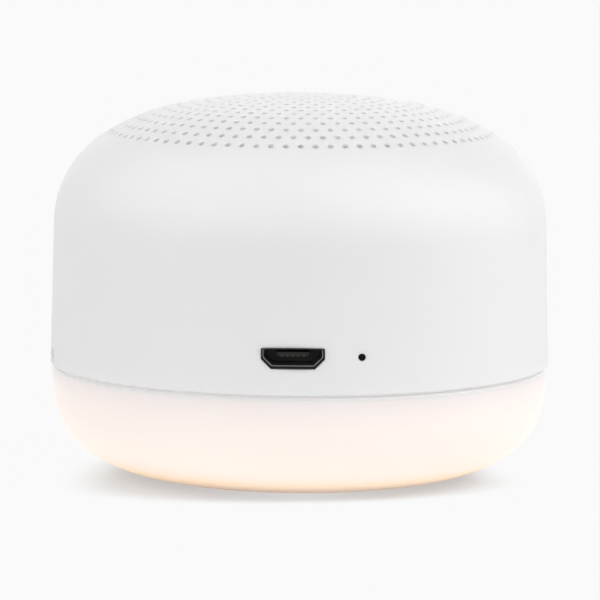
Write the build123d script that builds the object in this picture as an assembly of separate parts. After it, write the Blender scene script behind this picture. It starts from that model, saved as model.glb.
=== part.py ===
from build123d import *
import math
import os

# White noise sound machine with a night light, as separate pieces. Millimetres, Z up.
# The origin is the middle of the rubber foot's face, on the surface that it stands on.
# The buttons face -Y and the charging port faces +Y. Azimuths are degrees from +X about Z.

# ---- Driving dimensions: the outside ----
body_radius = 31.0          # largest radius, where housing and diffuser meet
seam_height = 13.85         # middle of the gap between housing and diffuser
seam_gap = 0.3              # open gap at the seam
foot_proud = 0.4            # the rubber foot stands this far below the diffuser
wall = 1.8                  # moulded wall of the housing and of the diffuser
wall_rise = 17.75           # height of the straight drafted wall above the seam
wall_draft = 1.38           # degrees that the wall leans inwards
shoulder_radius = 13.0      # arc from the wall into the haunch
shoulder_tilt = 33.0        # slope of the skin where the shoulder ends, degrees
haunch_radius = 26.7        # flatter arc from the shoulder to the crown
crown_tilt = 9.5            # slope of the skin where the crown's sphere begins
rim_inset = 0.15            # the diffuser's rim is this much narrower than the body
bowl_radii = (44.8, 8.8, 17.2)   # diffuser's arcs: flank, corner and belly
bowl_tilts = (81.6, 33.8, 0.0)   # slope of the skin at the end of each arc

# ---- Driving dimensions: grille, port, indicator, lanyard slot ----
grille_pitch = 1.685        # from ring to ring; ring k has 6k holes
grille_rings = 14
grille_hole_radius = 0.34
grille_wall = 1.0           # the wall is thinner behind the grille
port_offset = 0.75          # port's middle from the body's axis, towards +X
port_height = 18.43         # port's middle above the surface
port_width = 7.5
port_tall = 2.45
port_chamfer = 1.15         # the port's two lower corners
indicator_offset = -7.36
indicator_height = 18.54
indicator_radius = 0.45
lanyard_azimuth = 4.6
lanyard_hole = (2.6, 1.6)   # width and height of each of the two holes
lanyard_bar = 2.4           # bar between them
lanyard_height = 15.15      # middle of the holes
lanyard_wall = 10.0         # width beside the holes where the wall keeps its full thickness
lanyard_gap = 11.0          # width of the gap in the diffuser's tongue there

# ---- Driving dimensions: buttons ----
button_height = 19.6
button_radius = 3.25
button_clearance = 0.15
button_proud = 0.45
icon_depth = 0.12           # recess of the mark on a cap
button_azimuths = {
    "sound_button": 234.0,
    "volume_down_button": 258.0,
    "volume_up_button": 282.0,
    "light_button": 306.0,
}

# ---- Driving dimensions: foot, diffuser and chassis ----
foot_radii = (15.6, 9.8)         # groove in the diffuser that takes the rubber foot
foot_recess = 1.0
foot_clearance = 0.1
seat_height = 2.4                # screw heads sit here, hidden by the foot
bowl_boss_top = 3.6
tongue_radii = (29.95, 28.95)    # diffuser's tongue inside the housing's rim
tongue_top = 14.95
rabbet_radius = 30.1             # rebate in the housing that takes the tongue
rabbet_top = 15.1
chassis_radius = 28.5
chassis_bottom = 14.0
chassis_top = 15.4
well_size = (34.0, 24.0)         # battery well in the chassis, outside
well_bottom = 5.8
well_wall = 1.4

# ---- Driving dimensions: night light and battery ----
light_board_radii = (24.6, 19.8)
light_board_thickness = 1.0
adhesive = 0.15
light_count = 12
light_place = 22.2               # distance of the lights from the axis
cell_size = (26.5, 20.0, 5.6)
cell_place = -1.8
pad_thickness = 0.8

# ---- Driving dimensions: board, port and leads ----
board_bottom = 16.08
board_top = 17.28
board_radius = 27.4
sheet = 0.2                      # steel of the port's shell
shell_size = (7.25, 2.28)
shell_back = 24.4
shell_front = 29.4
sleeve = 0.06                    # black sleeve that lines the port's cut-out
sleeve_back = 28.6
switch_back = 23.2
switch_face = 26.6
plunger_radius = 0.9
plunger_back = 25.9
stem_back = 27.75
lead_radius = 0.45
lead_gap = 1.6                   # between the two leads of a pair
lead_bend = 1.35
light_lead_place = 18.35
battery_lead_place = 13.3
speaker_lead_place = -21.0

# ---- Driving dimensions: speaker and its chamber ----
chamber_bottom = 22.6            # sealed back chamber
chamber_top = 37.0
chamber_radius = 24.4
chamber_wall = 1.4
lip_radius = 25.6                # rim that carries the speaker
lip_low = 35.4
ear_bottom = 24.6                # screw ears on the chamber
ear_top = 26.2
flange_radius = 25.4             # two-inch speaker
flange_thickness = 0.8
ledge_inner = 24.4               # the gasket presses on a ledge in the housing
ledge_height = 39.0
cone_radius = 19.4
cap_radius = 6.8
cap_base = 35.6
yoke_low = 24.7
yoke_radius = 13.0
pole_radius = 4.75
coil_radius = 5.2
terminal_height = 32.6
edge_thickness = 0.3             # rubber of the surround
roll_radius = 1.9
spider_thickness = 0.25
spider_waves = 5

# ---- Driving dimensions: screws ----
screw_radius = 0.85
pilot_radius = 0.87
screw_clearance = 1.1
head_radius = 1.75
head_height = 1.2
chassis_boss_azimuths = (45.0, 135.0, 205.0, 335.0)
chassis_boss_place = 26.9
chamber_boss_azimuths = (30.0, 150.0, 270.0)
chamber_boss_place = 27.0
diffuser_screw_places = ((10.5, 7.0), (-10.5, 7.0), (-10.5, -7.0), (10.5, -7.0))
board_screw_places = ((-6.0, 15.5), (6.0, 15.5), (0.0, -15.5))

LOW = (Align.CENTER, Align.CENTER, Align.MIN)


# ---- Helpers ----
def disc(radius, low, high):
    """Upright cylinder between two heights."""
    return Pos(0, 0, low) * Cylinder(radius, high - low, align=LOW)


def ring(outer, inner, low, high):
    """Upright tube between two heights."""
    return disc(outer, low, high) - disc(inner, low - 1, high + 1)


def block(width, depth, low, high):
    """Upright box about the axis between two heights."""
    return Pos(0, 0, low) * Box(width, depth, high - low, align=LOW)


def rounded_block(width, depth, radius, low, high):
    """Upright box with rounded vertical corners."""
    return Pos(0, 0, low) * extrude(RectangleRounded(width, depth, radius), high - low)


def at(azimuth, radius=0.0, height=0.0):
    """Place at an azimuth, with the local X axis pointing outwards."""
    return Rot(0, 0, azimuth) * Pos(radius, 0, height)


def rod(radius, start, end, height):
    """Lying cylinder along the local X axis."""
    return Pos(start, 0, height) * (Rot(0, 90, 0) * Cylinder(radius, end - start, align=LOW))


def lathe(points):
    """Solid of revolution about Z from (radius, height) points."""
    return revolve(Plane.XZ * make_face(Polyline(*points, close=True)), axis=Axis.Z)


def along(start, distance, tilt):
    """Point at a distance from start, square to a skin that slopes by tilt degrees."""
    turn = math.radians(tilt)
    return (start[0] + distance * math.sin(turn), start[1] + distance * math.cos(turn))


def arc_centres(start, tilts, radii):
    """Centres of arcs that follow one another smoothly; tilts has one more entry than radii."""
    centres = []
    point = start
    for radius, first, last in zip(radii, tilts, tilts[1:]):
        centre = along(point, -radius, first)
        centres.append(centre)
        point = along(centre, radius, last)
    return centres


def arc_edges(centres, tilts, radii, inset):
    """Those arcs moved inwards by inset, as curves."""
    edges = []
    for centre, radius, first, last in zip(centres, radii, tilts, tilts[1:]):
        span = [along(centre, radius - inset, tilt) for tilt in (first, (first + last) / 2, last)]
        edges.append(ThreePointArc(*span))
    return edges


def turned(edges, base):
    """Solid of revolution under a chain of curves, closed along the axis and at height base."""
    start = edges[0] @ 0
    end = edges[-1] @ 1
    corners = [end, Vector(0, end.Y), Vector(0, base), Vector(start.X, base), start]
    pairs = [pair for pair in zip(corners, corners[1:]) if (pair[1] - pair[0]).length > 1e-6]
    return revolve(Plane.XZ * make_face(Curve() + edges + [Line(*pair) for pair in pairs]), axis=Axis.Z)


# ---- The two outer skins ----
wall_lean = math.tan(math.radians(wall_draft))
wall_tilt = 90.0 - wall_draft
wall_top = (body_radius - wall_rise * wall_lean, seam_height + wall_rise)
shoulder_end = along(along(wall_top, -shoulder_radius, wall_tilt), shoulder_radius, shoulder_tilt)
haunch_end = along(along(shoulder_end, -haunch_radius, shoulder_tilt), haunch_radius, crown_tilt)
crown_radius = haunch_end[0] / math.sin(math.radians(crown_tilt))
dome_tilts = (wall_tilt, shoulder_tilt, crown_tilt, 0.0)
dome_radii = (shoulder_radius, haunch_radius, crown_radius)
dome_centres = arc_centres(wall_top, dome_tilts, dome_radii)
total_height = dome_centres[-1][1] + crown_radius


def wall_radius(height, inset=0.0):
    """Radius of the housing's drafted wall at a height."""
    return body_radius - (height - seam_height) * wall_lean - inset / math.cos(math.radians(wall_draft))


def housing_solid(inset, base):
    """Everything inside the housing's skin moved inwards by inset, down to base."""
    arcs = arc_edges(dome_centres, dome_tilts, dome_radii, inset)
    flank = Line((wall_radius(base, inset), base), arcs[0] @ 0)
    return turned([flank] + arcs, base)


rim_height = seam_height - seam_gap / 2
rim_radius = body_radius - rim_inset
bowl_depth = rim_height - foot_proud
lower_depth = sum(
    radius * (math.cos(math.radians(last)) - math.cos(math.radians(first)))
    for radius, first, last in zip(bowl_radii[1:], bowl_tilts, bowl_tilts[1:])
)
flank_cosine = math.cos(math.radians(bowl_tilts[0])) - (bowl_depth - lower_depth) / bowl_radii[0]
all_bowl_tilts = (math.degrees(math.acos(flank_cosine)),) + bowl_tilts
bowl_centres = arc_centres((rim_radius, 0.0), all_bowl_tilts, bowl_radii)


def bowl_solid(inset):
    """Everything inside the diffuser's skin moved inwards by inset, up to its rim."""
    upright = turned(arc_edges(bowl_centres, all_bowl_tilts, bowl_radii, inset), -inset)
    return Pos(0, 0, rim_height) * (Rot(180, 0, 0) * upright)


def screw(length):
    """Pan-head cross-recess screw: head below, shank pointing up from height 0."""
    head = Pos(0, 0, -head_height) * Cylinder(head_radius, head_height, align=LOW)
    head = fillet(head.edges().group_by(Axis.Z)[0], 0.45)
    shank = chamfer(disc(screw_radius, 0, length).edges().group_by(Axis.Z)[-1], 0.4)
    slot = block(2.1, 0.45, -head_height - 0.1, -0.45)
    return head + shank - slot - Rot(0, 0, 90) * slot


def lead(points, radius):
    """Insulated wire along straight runs joined by arcs."""
    path = FilletPolyline(*points, radius=radius)
    return sweep(Plane(path @ 0, z_dir=path % 0) * Circle(lead_radius), path=path)


def export(name, shape):
    """Write one node; a list of solids becomes one group."""
    solids = shape if isinstance(shape, list) else [shape]
    solids = [solid for member in solids for solid in member.solids()]
    part = solids[0] if len(solids) == 1 else Compound(children=solids)
    export_step(part, f"parts/{name}.step")


os.makedirs("parts", exist_ok=True)


# ---- Upper housing ----
def grille_holes():
    """Upright holes on rings, with 6k holes on ring k, and one in the middle."""
    tool = Cylinder(grille_hole_radius, total_height - ledge_height + 2, align=LOW)
    places = [Pos(0, 0, ledge_height)]
    for k in range(1, grille_rings + 1):
        for step in range(6 * k):
            places.append(at(step * 60.0 / k, k * grille_pitch, ledge_height))
    return [place * tool for place in places]


def port_outline(width, tall, cut):
    """Charging port's section, with its two lower corners cut off."""
    half = width / 2
    low = -tall / 2
    points = [(-half, -low), (half, -low), (half, low + cut), (half - cut, low)]
    points += [(cut - half, low), (-half, low + cut)]
    return make_face(Polyline(*points, close=True))


def port_prism(width, tall, cut, start, end, height=port_height):
    """That section along Y, between two distances from the axis."""
    plane = Plane(origin=(port_offset, start, height), x_dir=(-1, 0, 0), z_dir=(0, 1, 0))
    return extrude(plane * port_outline(width, tall, cut), end - start)


def boss(radius, place, azimuth, low, high):
    """Screw boss with a web that joins it to the wall."""
    web = Pos((place + body_radius) / 2, 0, 0) * block(body_radius - place, 1.6, low, high)
    return at(azimuth) * (Pos(place, 0, 0) * disc(radius, low, high) + web)


def upper_housing():
    base = seam_height + seam_gap / 2
    shell = housing_solid(0, base) - housing_solid(wall, base - 2)
    rabbet = disc(rabbet_radius, base - 1, rabbet_top)
    shell -= rabbet - at(lanyard_azimuth, rabbet_radius) * block(6, lanyard_wall, base - 1, rabbet_top)
    shell -= housing_solid(grille_wall, base) & disc(ledge_inner, ledge_height, total_height)
    inside = ring(chassis_radius, ledge_inner, ledge_height, ledge_height + 4)
    for azimuth in chassis_boss_azimuths:
        inside += boss(2.4, chassis_boss_place, azimuth, chassis_top, chassis_top + 7.2)
    for azimuth in chamber_boss_azimuths:
        inside += boss(2.1, chamber_boss_place, azimuth, ear_top, ear_top + 8.6)
    shell += inside & housing_solid(wall / 2, base)
    cuts = [at(azimuth, chassis_boss_place) * disc(pilot_radius, chassis_top - 1, chassis_top + 6.5)
            for azimuth in chassis_boss_azimuths]
    cuts += [at(azimuth, chamber_boss_place) * disc(pilot_radius, ear_top - 1, ear_top + 5.6)
             for azimuth in chamber_boss_azimuths]
    cuts.append(port_prism(port_width, port_tall, port_chamfer, 26, 33))
    indicator = Rot(0, 0, 90) * rod(indicator_radius, 26, 33, indicator_height)
    cuts.append(Pos(indicator_offset, 0, 0) * indicator)
    for azimuth in button_azimuths.values():
        cuts.append(at(azimuth) * rod(button_radius + button_clearance, 26, 34, button_height))
    for side in (-1, 1):
        shift = side * (lanyard_bar + lanyard_hole[0]) / 2
        hole = Pos(30, shift, lanyard_height) * Box(8, lanyard_hole[0], lanyard_hole[1])
        cuts.append(at(lanyard_azimuth) * fillet(hole.edges().filter_by(Axis.X), 0.6))
    return shell - cuts - grille_holes()


export("upper_housing", upper_housing())
print("total height", round(total_height, 2), "crown radius", round(crown_radius, 2))

# The dust screen is glued under the grille.
screen = housing_solid(grille_wall + 0.02, seam_height)
screen -= housing_solid(grille_wall + 0.2, seam_height - 1)
screen &= disc(ledge_inner - 0.2, ledge_height, total_height)
export("grille_screen", screen)


# ---- Light diffuser, rubber foot and their screws ----
def light_diffuser():
    body = bowl_solid(0) - bowl_solid(wall)
    body += ring(*tongue_radii, rim_height - 1.2, tongue_top)
    body -= at(lanyard_azimuth, tongue_radii[0]) * block(4, lanyard_gap, rim_height, tongue_top + 1)
    for x, y in diffuser_screw_places:
        body += Pos(x, y, 0) * disc(3.2, foot_proud + wall - 0.5, bowl_boss_top)
    body -= ring(*foot_radii, foot_proud - 1, foot_recess)
    for x, y in diffuser_screw_places:
        body -= Pos(x, y, 0) * (disc(2.0, 0, seat_height) + disc(screw_clearance, 0, bowl_boss_top + 1))
    return body


export("light_diffuser", light_diffuser())

foot = ring(foot_radii[0] - foot_clearance, foot_radii[1] + foot_clearance, 0, foot_recess)
export("foot_ring", fillet(foot.edges().group_by(Axis.Z)[0], 0.25))
export("diffuser_screws", [Pos(x, y, seat_height) * screw(4.5) for x, y in diffuser_screw_places])


# ---- Inner chassis ----
well_floor = well_bottom + well_wall


def inner_chassis():
    plate = disc(chassis_radius, chassis_bottom, chassis_top)
    plate += rounded_block(*well_size, 4.0, well_bottom, chassis_bottom + 0.5)
    for x, y in board_screw_places:
        plate += Pos(x, y, 0) * disc(2.2, board_bottom - 5.6, board_bottom)
    for x, y in diffuser_screw_places:
        plate += Pos(x, y, 0) * disc(2.6, bowl_boss_top, well_bottom + 0.5)
    inside = [size - 2 * well_wall for size in well_size]
    cuts = [rounded_block(*inside, 4.0 - well_wall, well_floor, chassis_top + 1)]
    for x, y in board_screw_places:
        cuts.append(Pos(x, y, 0) * disc(pilot_radius, board_bottom - 4.6, board_bottom + 1))
    for x, y in diffuser_screw_places:
        cuts.append(Pos(x, y, 0) * disc(pilot_radius, 0, well_floor - 0.2))
    for azimuth in chassis_boss_azimuths:
        cuts.append(at(azimuth, chassis_boss_place) * disc(screw_clearance, 10, 20))
    cuts.append(Pos(light_lead_place, 0, 0) * block(1.6, 3.0, 10, 20))
    cuts.append(at(lanyard_azimuth, chassis_radius) * block(3.0, 8.0, 10, 20))
    return plate - cuts


export("inner_chassis", inner_chassis())
export("chassis_screws", [at(azimuth, chassis_boss_place, chassis_bottom) * screw(7.0)
                          for azimuth in chassis_boss_azimuths])


# ---- Night-light board ----
light_board_top = chassis_bottom - adhesive
light_board_bottom = light_board_top - light_board_thickness

export("light_board_adhesive", ring(*light_board_radii, light_board_top, chassis_bottom))
export("light_board", ring(*light_board_radii, light_board_bottom, light_board_top))
package = block(3.5, 2.8, light_board_bottom - 0.7, light_board_bottom)
package -= disc(1.2, light_board_bottom - 0.8, light_board_bottom - 0.4)
phosphor = disc(1.19, light_board_bottom - 0.69, light_board_bottom - 0.41)
light_places = [at(15 + step * 360 / light_count, light_place) for step in range(light_count)]
export("light_packages", [place * package for place in light_places])
export("light_phosphors", [place * phosphor for place in light_places])


# ---- Battery ----
cell_low = well_floor + pad_thickness
cell = Pos(cell_place, 0, 0) * block(*cell_size[:2], cell_low, cell_low + cell_size[2])
export("battery_pad", Pos(cell_place, 0, 0) * block(24, 18, well_floor, cell_low))
export("battery_cell", fillet(cell.edges(), 0.9))
export("battery_board", Pos(13.2, 0, 0) * block(2.8, 15.0, cell_low + 2.2, cell_low + 3.0))


# ---- Main board ----
def main_board():
    board = disc(board_radius, board_bottom, board_top)
    board += Pos(port_offset, 24.5, 0) * block(8.2, 8.0, board_bottom, board_top)
    board -= [at(azimuth, chassis_boss_place) * disc(3.0, 10, 20) for azimuth in chassis_boss_azimuths]
    board -= [Pos(x, y, 0) * disc(screw_clearance, 10, 20) for x, y in board_screw_places]
    board -= [Pos(x, 0, 0) * block(1.6, 3.4, 10, 20) for x in (battery_lead_place, light_lead_place)]
    return board


def leaded_chip(width, depth, height, legs, pitch):
    """Moulded chip with a row of bent legs on two sides."""
    chip = block(width, depth, board_top + 0.1, board_top + height)
    for step in range(legs):
        x = (step - (legs - 1) / 2) * pitch
        for side in (-1, 1):
            shoulder = block(0.3, 1.0, board_top + 0.35, board_top + 0.55)
            chip += Pos(x, side * (depth / 2 + 0.3), 0) * shoulder
            chip += Pos(x, side * (depth / 2 + 0.7), 0) * block(0.3, 0.3, board_top, board_top + 0.55)
    return chip


export("main_board", main_board())
board_screw = Rot(180, 0, 0) * screw(5.0)
export("board_screws", [Pos(x, y, board_top) * board_screw for x, y in board_screw_places])
export("sound_chip", Pos(-3.0, 7.0, 0) * leaded_chip(9.0, 5.6, 1.6, 8, 1.1))
export("amplifier_chip", Pos(-12.0, -8.5, 0) * leaded_chip(5.0, 3.9, 1.6, 4, 1.27))
export("memory_chip", Pos(8.5, 8.0, 0) * leaded_chip(5.0, 3.9, 1.6, 4, 1.27))
capacitor = fillet(disc(2.0, board_top + 0.3, board_top + 4.6).edges().group_by(Axis.Z)[-1], 0.3)
capacitor += block(4.2, 4.2, board_top, board_top + 0.4)
capacitor_places = ((-5.0, -17.0), (5.5, -13.0), (11.0, 15.5))
export("bulk_capacitors", [Pos(x, y, 0) * capacitor for x, y in capacitor_places])
inductor = chamfer(block(5.0, 5.0, board_top, board_top + 2.6).edges().filter_by(Axis.Z), 0.9)
export("power_inductor", Pos(-12.5, 14.0, 0) * inductor)
chip_capacitor = block(1.6, 0.8, board_top, board_top + 0.8)
chip_rows = [Pos(-11.0 + 2.6 * step, 1.2, 0) for step in range(6)]
chip_rows += [Pos(-6.5 + 2.6 * step, -5.0, 0) for step in range(6)]
export("chip_capacitors", [place * chip_capacitor for place in chip_rows])


# ---- Leads, their plugs and the sockets on the board ----
lead_height = board_top + 1.9

# Each lead: its two ends along X, the height that it starts from and the way that it turns.
lead_routes = {
    "speaker_leads": (speaker_lead_place, terminal_height, 4.0),
    "battery_leads": (battery_lead_place, cell_low + 3.0, -4.0),
    "light_leads": (light_lead_place, light_board_bottom, 3.4),
}
plugs = []
sockets = []
for name, (place, start, run) in lead_routes.items():
    way = math.copysign(1, run)
    pair = []
    for side in (-1, 1):
        y = side * lead_gap / 2
        route = [(place, y, start), (place, y, lead_height), (place + run, y, lead_height)]
        pair.append(lead(route, lead_bend))
    export(name, pair)
    plugs.append(Pos(place + run + way * 1.2, 0, 0) * block(2.4, 4.0, board_top + 0.8, board_top + 3.0))
    socket = Pos(place + run + way * 3.0, 0, 0) * block(1.2, 5.2, board_top, board_top + 3.6)
    base_low = Pos(place + run + way * 1.2, 0, 0) * block(2.4, 5.2, board_top, board_top + 0.8)
    sockets.append(socket + base_low)
export("lead_plugs", plugs)
export("lead_sockets", sockets)

# Tabs on the light board's pads, which its two leads are soldered to.
pad = Pos(light_lead_place + 0.95, 0, 0) * block(2.4, 0.8, light_board_bottom - 0.15, light_board_bottom)
export("light_board_pads", [Pos(0, side * lead_gap / 2, 0) * pad for side in (-1, 1)])


# ---- Charging port and charge indicator ----
shell_middle = board_top + shell_size[1] / 2
usb_shell = port_prism(*shell_size, 1.08, shell_back, shell_front, shell_middle)
usb_hollow = port_prism(shell_size[0] - 2 * sheet, shell_size[1] - 2 * sheet, 0.97, shell_back + sheet,
                        shell_front + 1, shell_middle)
export("usb_shell", usb_shell - usb_hollow)
insulator = port_prism(shell_size[0] - 2 * sheet - 0.04, shell_size[1] - 2 * sheet - 0.04, 0.96,
                       shell_back + sheet, shell_back + 1.4, shell_middle)
tongue_low = board_top + 1.25
tongue = Pos(port_offset, shell_back + 2.8, 0) * block(3.7, 3.2, tongue_low, tongue_low + 0.45)
export("usb_tongue", insulator + tongue)
contact = Pos(port_offset, shell_back + 2.7, 0) * block(0.3, 2.6, tongue_low - 0.1, tongue_low)
export("usb_contacts", [Pos((step - 2) * 0.65, 0, 0) * contact for step in range(5)])
port_sleeve = port_prism(port_width - 0.02, port_tall - 0.02, port_chamfer - 0.01, sleeve_back, 33)
sleeve_inside = (port_width - 2 * sleeve, port_tall - 2 * sleeve)
port_sleeve -= port_prism(*sleeve_inside, port_chamfer - 0.04, sleeve_back - 1, 34)
export("port_sleeve", port_sleeve & housing_solid(0.05, seam_height))

export("charge_led", Pos(indicator_offset, 25.8, 0) * block(3.0, 1.0, board_top, board_top + 2.2))
guide = rod(indicator_radius - 0.03, 27.8, 29.7, indicator_height)
guide += rod(1.0, 26.5, 27.8, indicator_height)
export("charge_light_guide", Pos(indicator_offset, 0, 0) * (Rot(0, 0, 90) * guide))


# ---- Buttons and their switches ----
def icon(name):
    """Outline of a button's mark, on a plane square to the button's axis."""
    bar = Rectangle(1.9, 0.42)
    if name == "volume_down_button":
        return bar
    if name == "volume_up_button":
        return bar + Rectangle(0.42, 1.9)
    if name == "light_button":
        return Circle(1.1) - Pos(0.55, 0.35) * Circle(0.95)
    gap = Pos(0, 1.0) * Rectangle(0.9, 1.2)
    return Circle(1.15) - Circle(0.8) - gap + Pos(0, 0.75) * Rectangle(0.36, 1.2)


def button(name, azimuth):
    """Cap that follows the wall, its retaining flange behind the wall and its stem."""
    cap = at(azimuth) * rod(button_radius, stem_back, 34, button_height)
    face = housing_solid(-button_proud, seam_height)
    cap = cap & (face - housing_solid(wall + 0.5, seam_height - 1))
    rim = cap.faces().sort_by(Axis((0, 0, button_height), tuple(at(azimuth, 1).position)))[-1].edges()
    cap = fillet(rim, 0.3)
    flange = at(azimuth) * rod(4.0, 26, 33, button_height)
    cap += flange & (housing_solid(wall + 0.1, seam_height) - housing_solid(wall + 0.9, seam_height - 1))
    cap += at(azimuth) * rod(1.1, stem_back, 28.6, button_height)
    plane = Plane(origin=at(azimuth, 27, button_height).position, x_dir=at(azimuth + 90, 1).position,
                  z_dir=at(azimuth, 1).position)
    mark = extrude(plane * icon(name), 8) - housing_solid(icon_depth - button_proud, seam_height - 1)
    return cap - mark


for name, azimuth in button_azimuths.items():
    export(name, button(name, azimuth))
    plunger = at(azimuth) * rod(plunger_radius, plunger_back, stem_back - 0.02, button_height)
    export(name.replace("button", "plunger"), plunger)
switch = block(switch_face - switch_back, 6.0, board_top, board_top + 4.0)
switch = Pos((switch_back + switch_face) / 2, 0, 0) * switch
switch -= rod(plunger_radius + 0.07, plunger_back - 0.6, switch_face + 1, button_height)
export("switch_bodies", [at(azimuth) * switch for azimuth in button_azimuths.values()])


# ---- Speaker chamber ----
chamber_inner = chamber_radius - chamber_wall


def speaker_chamber():
    cup = disc(chamber_radius, chamber_bottom, chamber_top) + disc(lip_radius, lip_low, chamber_top)
    for azimuth in chamber_boss_azimuths:
        ear = Pos(chamber_boss_place, 0, 0) * disc(1.7, ear_bottom, ear_top)
        ear += Pos(chamber_boss_place - 2, 0, 0) * block(4, 3.4, ear_bottom, ear_top)
        cup += at(azimuth) * ear
    cup -= disc(chamber_inner, chamber_bottom + 1.6, chamber_top + 1)
    cuts = [Pos(speaker_lead_place, 0, 0) * block(1.3, 3.0, 20, 30)]
    for azimuth in chamber_boss_azimuths:
        cuts.append(at(azimuth, chamber_boss_place) * disc(screw_clearance, 20, 30))
    return cup - cuts


export("speaker_chamber", speaker_chamber())
export("chamber_screws", [at(azimuth, chamber_boss_place, ear_bottom) * screw(6.5)
                          for azimuth in chamber_boss_azimuths])


# ---- Speaker ----
magnet_low = yoke_low + 1.5
plate_low = magnet_low + 4.0
basket_low = plate_low + 1.5
flange_top = chamber_top + flange_thickness
roll_middle = cone_radius + 1.5
edge_top = flange_top + edge_thickness


def speaker_frame():
    """Pressed basket with a flange, a shelf for the spider and six windows."""
    shelf = basket_low + 1.5
    side = chamber_inner - 0.3
    points = [(8.0, basket_low), (15.4, basket_low), (side, chamber_top - 0.6), (side, chamber_top)]
    points += [(flange_radius, chamber_top), (flange_radius, flange_top), (side - 0.7, flange_top)]
    points += [(side - 0.7, chamber_top - 0.2), (14.8, shelf), (13.2, shelf), (13.2, shelf - 0.7)]
    points += [(8.0, shelf - 0.7)]
    frame = lathe(points)
    for step in range(6):
        frame -= at(step * 60, 18.4) * block(4.6, 8.0, basket_low + 0.6, chamber_top + 2)
    return frame


export("speaker_frame", speaker_frame())
yoke = disc(yoke_radius, yoke_low, magnet_low) + disc(pole_radius, yoke_low, basket_low + 0.6)
export("speaker_yoke", yoke)
export("speaker_magnet", ring(14.5, 6.6, magnet_low, plate_low))
export("speaker_top_plate", ring(yoke_radius, 5.95, plate_low, basket_low))
export("voice_coil_former", ring(coil_radius + 0.12, coil_radius, 29.6, 35.3))
export("voice_coil_winding", ring(coil_radius + 0.42, coil_radius + 0.13, 29.7, 32.2))
neck = coil_radius + 0.13
cone_points = [(neck, 34.5), (6.4, 34.5), (cone_radius - 0.5, edge_top - 0.7)]
cone_points += [(cone_radius, edge_top - 0.4), (cone_radius, edge_top), (cone_radius - 0.8, edge_top)]
cone_points += [(6.0, 35.3), (neck, 35.3)]
export("speaker_cone", lathe(cone_points))


def dust_cap():
    """Shallow dome over the coil."""
    rise = 2.0
    radius = (cap_radius ** 2 + rise ** 2) / (2 * rise)
    middle = cap_base + rise - radius
    dome = Pos(0, 0, middle) * (Sphere(radius) - Sphere(radius - 0.3))
    return dome & disc(cap_radius, cap_base, cap_base + rise + 1)


def speaker_surround():
    """Half roll of rubber with a landing on the cone and one on the flange."""
    inner = roll_radius - edge_thickness
    edges = [CenterArc((roll_middle, edge_top), radius, 0, 180) for radius in (roll_radius, inner)]
    for side in (-1, 1):
        ends = [(roll_middle + side * radius, edge_top) for radius in (roll_radius, inner)]
        edges.append(Line(*ends))
    roll = revolve(Plane.XZ * make_face(Curve() + edges), axis=Axis.Z)
    roll += ring(cone_radius, cone_radius - 1.0, edge_top, edge_top + edge_thickness)
    return roll + ring(flange_radius - 0.2, roll_middle + inner, flange_top, edge_top)


def speaker_spider():
    """Corrugated disc that centres the coil, with a flat rim on the basket's shelf."""
    low = basket_low + 1.5
    inner = coil_radius + 0.16
    wave = (13.0 - inner) / spider_waves
    crests = []
    for number in range(2 * spider_waves):
        start = inner + number * wave / 2
        height = 0.25 if number % 2 else -0.25
        crests.append([(start, 0), (start + wave / 4, height), (start + wave / 2, 0)])
    top = [ThreePointArc(*[(r, low + spider_thickness + z) for r, z in crest]) for crest in crests]
    under = [ThreePointArc(*[(r, low + z) for r, z in crest]) for crest in crests]
    rim = [(13.0, low), (14.6, low), (14.6, low + spider_thickness), (13.0, low + spider_thickness)]
    edge = Line((inner, low), (inner, low + spider_thickness))
    return revolve(Plane.XZ * make_face(Curve() + top + under + [Polyline(*rim), edge]), axis=Axis.Z)


export("dust_cap", dust_cap())
export("speaker_surround", speaker_surround())
export("speaker_spider", speaker_spider())
export("speaker_gasket", ring(flange_radius - 0.1, 23.2, edge_top, ledge_height))
export("speaker_terminals", Pos(-20.3, 0, 0) * block(4.0, 8.0, terminal_height, terminal_height + 0.8))
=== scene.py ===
import math

import bmesh
import bpy
from bpy.props import FloatProperty, FloatVectorProperty, IntProperty, PointerProperty
from bpy.types import Operator, Panel, PropertyGroup
from mathutils import Matrix, Vector
from mathutils.geometry import delaunay_2d_cdt


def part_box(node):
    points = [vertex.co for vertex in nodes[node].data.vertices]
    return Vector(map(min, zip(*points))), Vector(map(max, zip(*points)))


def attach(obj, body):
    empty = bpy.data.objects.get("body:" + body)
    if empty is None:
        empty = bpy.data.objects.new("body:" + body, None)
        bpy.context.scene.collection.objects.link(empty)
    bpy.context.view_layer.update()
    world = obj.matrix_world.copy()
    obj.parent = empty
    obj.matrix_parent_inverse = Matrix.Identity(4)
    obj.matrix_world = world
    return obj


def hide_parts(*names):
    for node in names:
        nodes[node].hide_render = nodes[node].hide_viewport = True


bl_info = {
    "name": "White Noise Machine",
    "version": (1, 0, 0),
    "blender": (4, 5, 0),
    "location": "3D View > Sidebar > Noise Machine",
    "description": "Finishes a palm-sized white noise machine with a glowing night light",
    "category": "Add Mesh",
}

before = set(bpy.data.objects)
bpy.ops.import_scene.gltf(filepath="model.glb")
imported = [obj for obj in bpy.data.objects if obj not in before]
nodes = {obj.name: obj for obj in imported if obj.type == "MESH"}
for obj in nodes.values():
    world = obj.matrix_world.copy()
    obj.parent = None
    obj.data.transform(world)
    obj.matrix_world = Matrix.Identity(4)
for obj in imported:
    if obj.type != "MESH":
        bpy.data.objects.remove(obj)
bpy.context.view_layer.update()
housing_low, housing_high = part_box("upper_housing")
diffuser_low, diffuser_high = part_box("light_diffuser")
foot_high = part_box("foot_ring")[1]
shell_low, shell_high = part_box("usb_shell")

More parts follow.
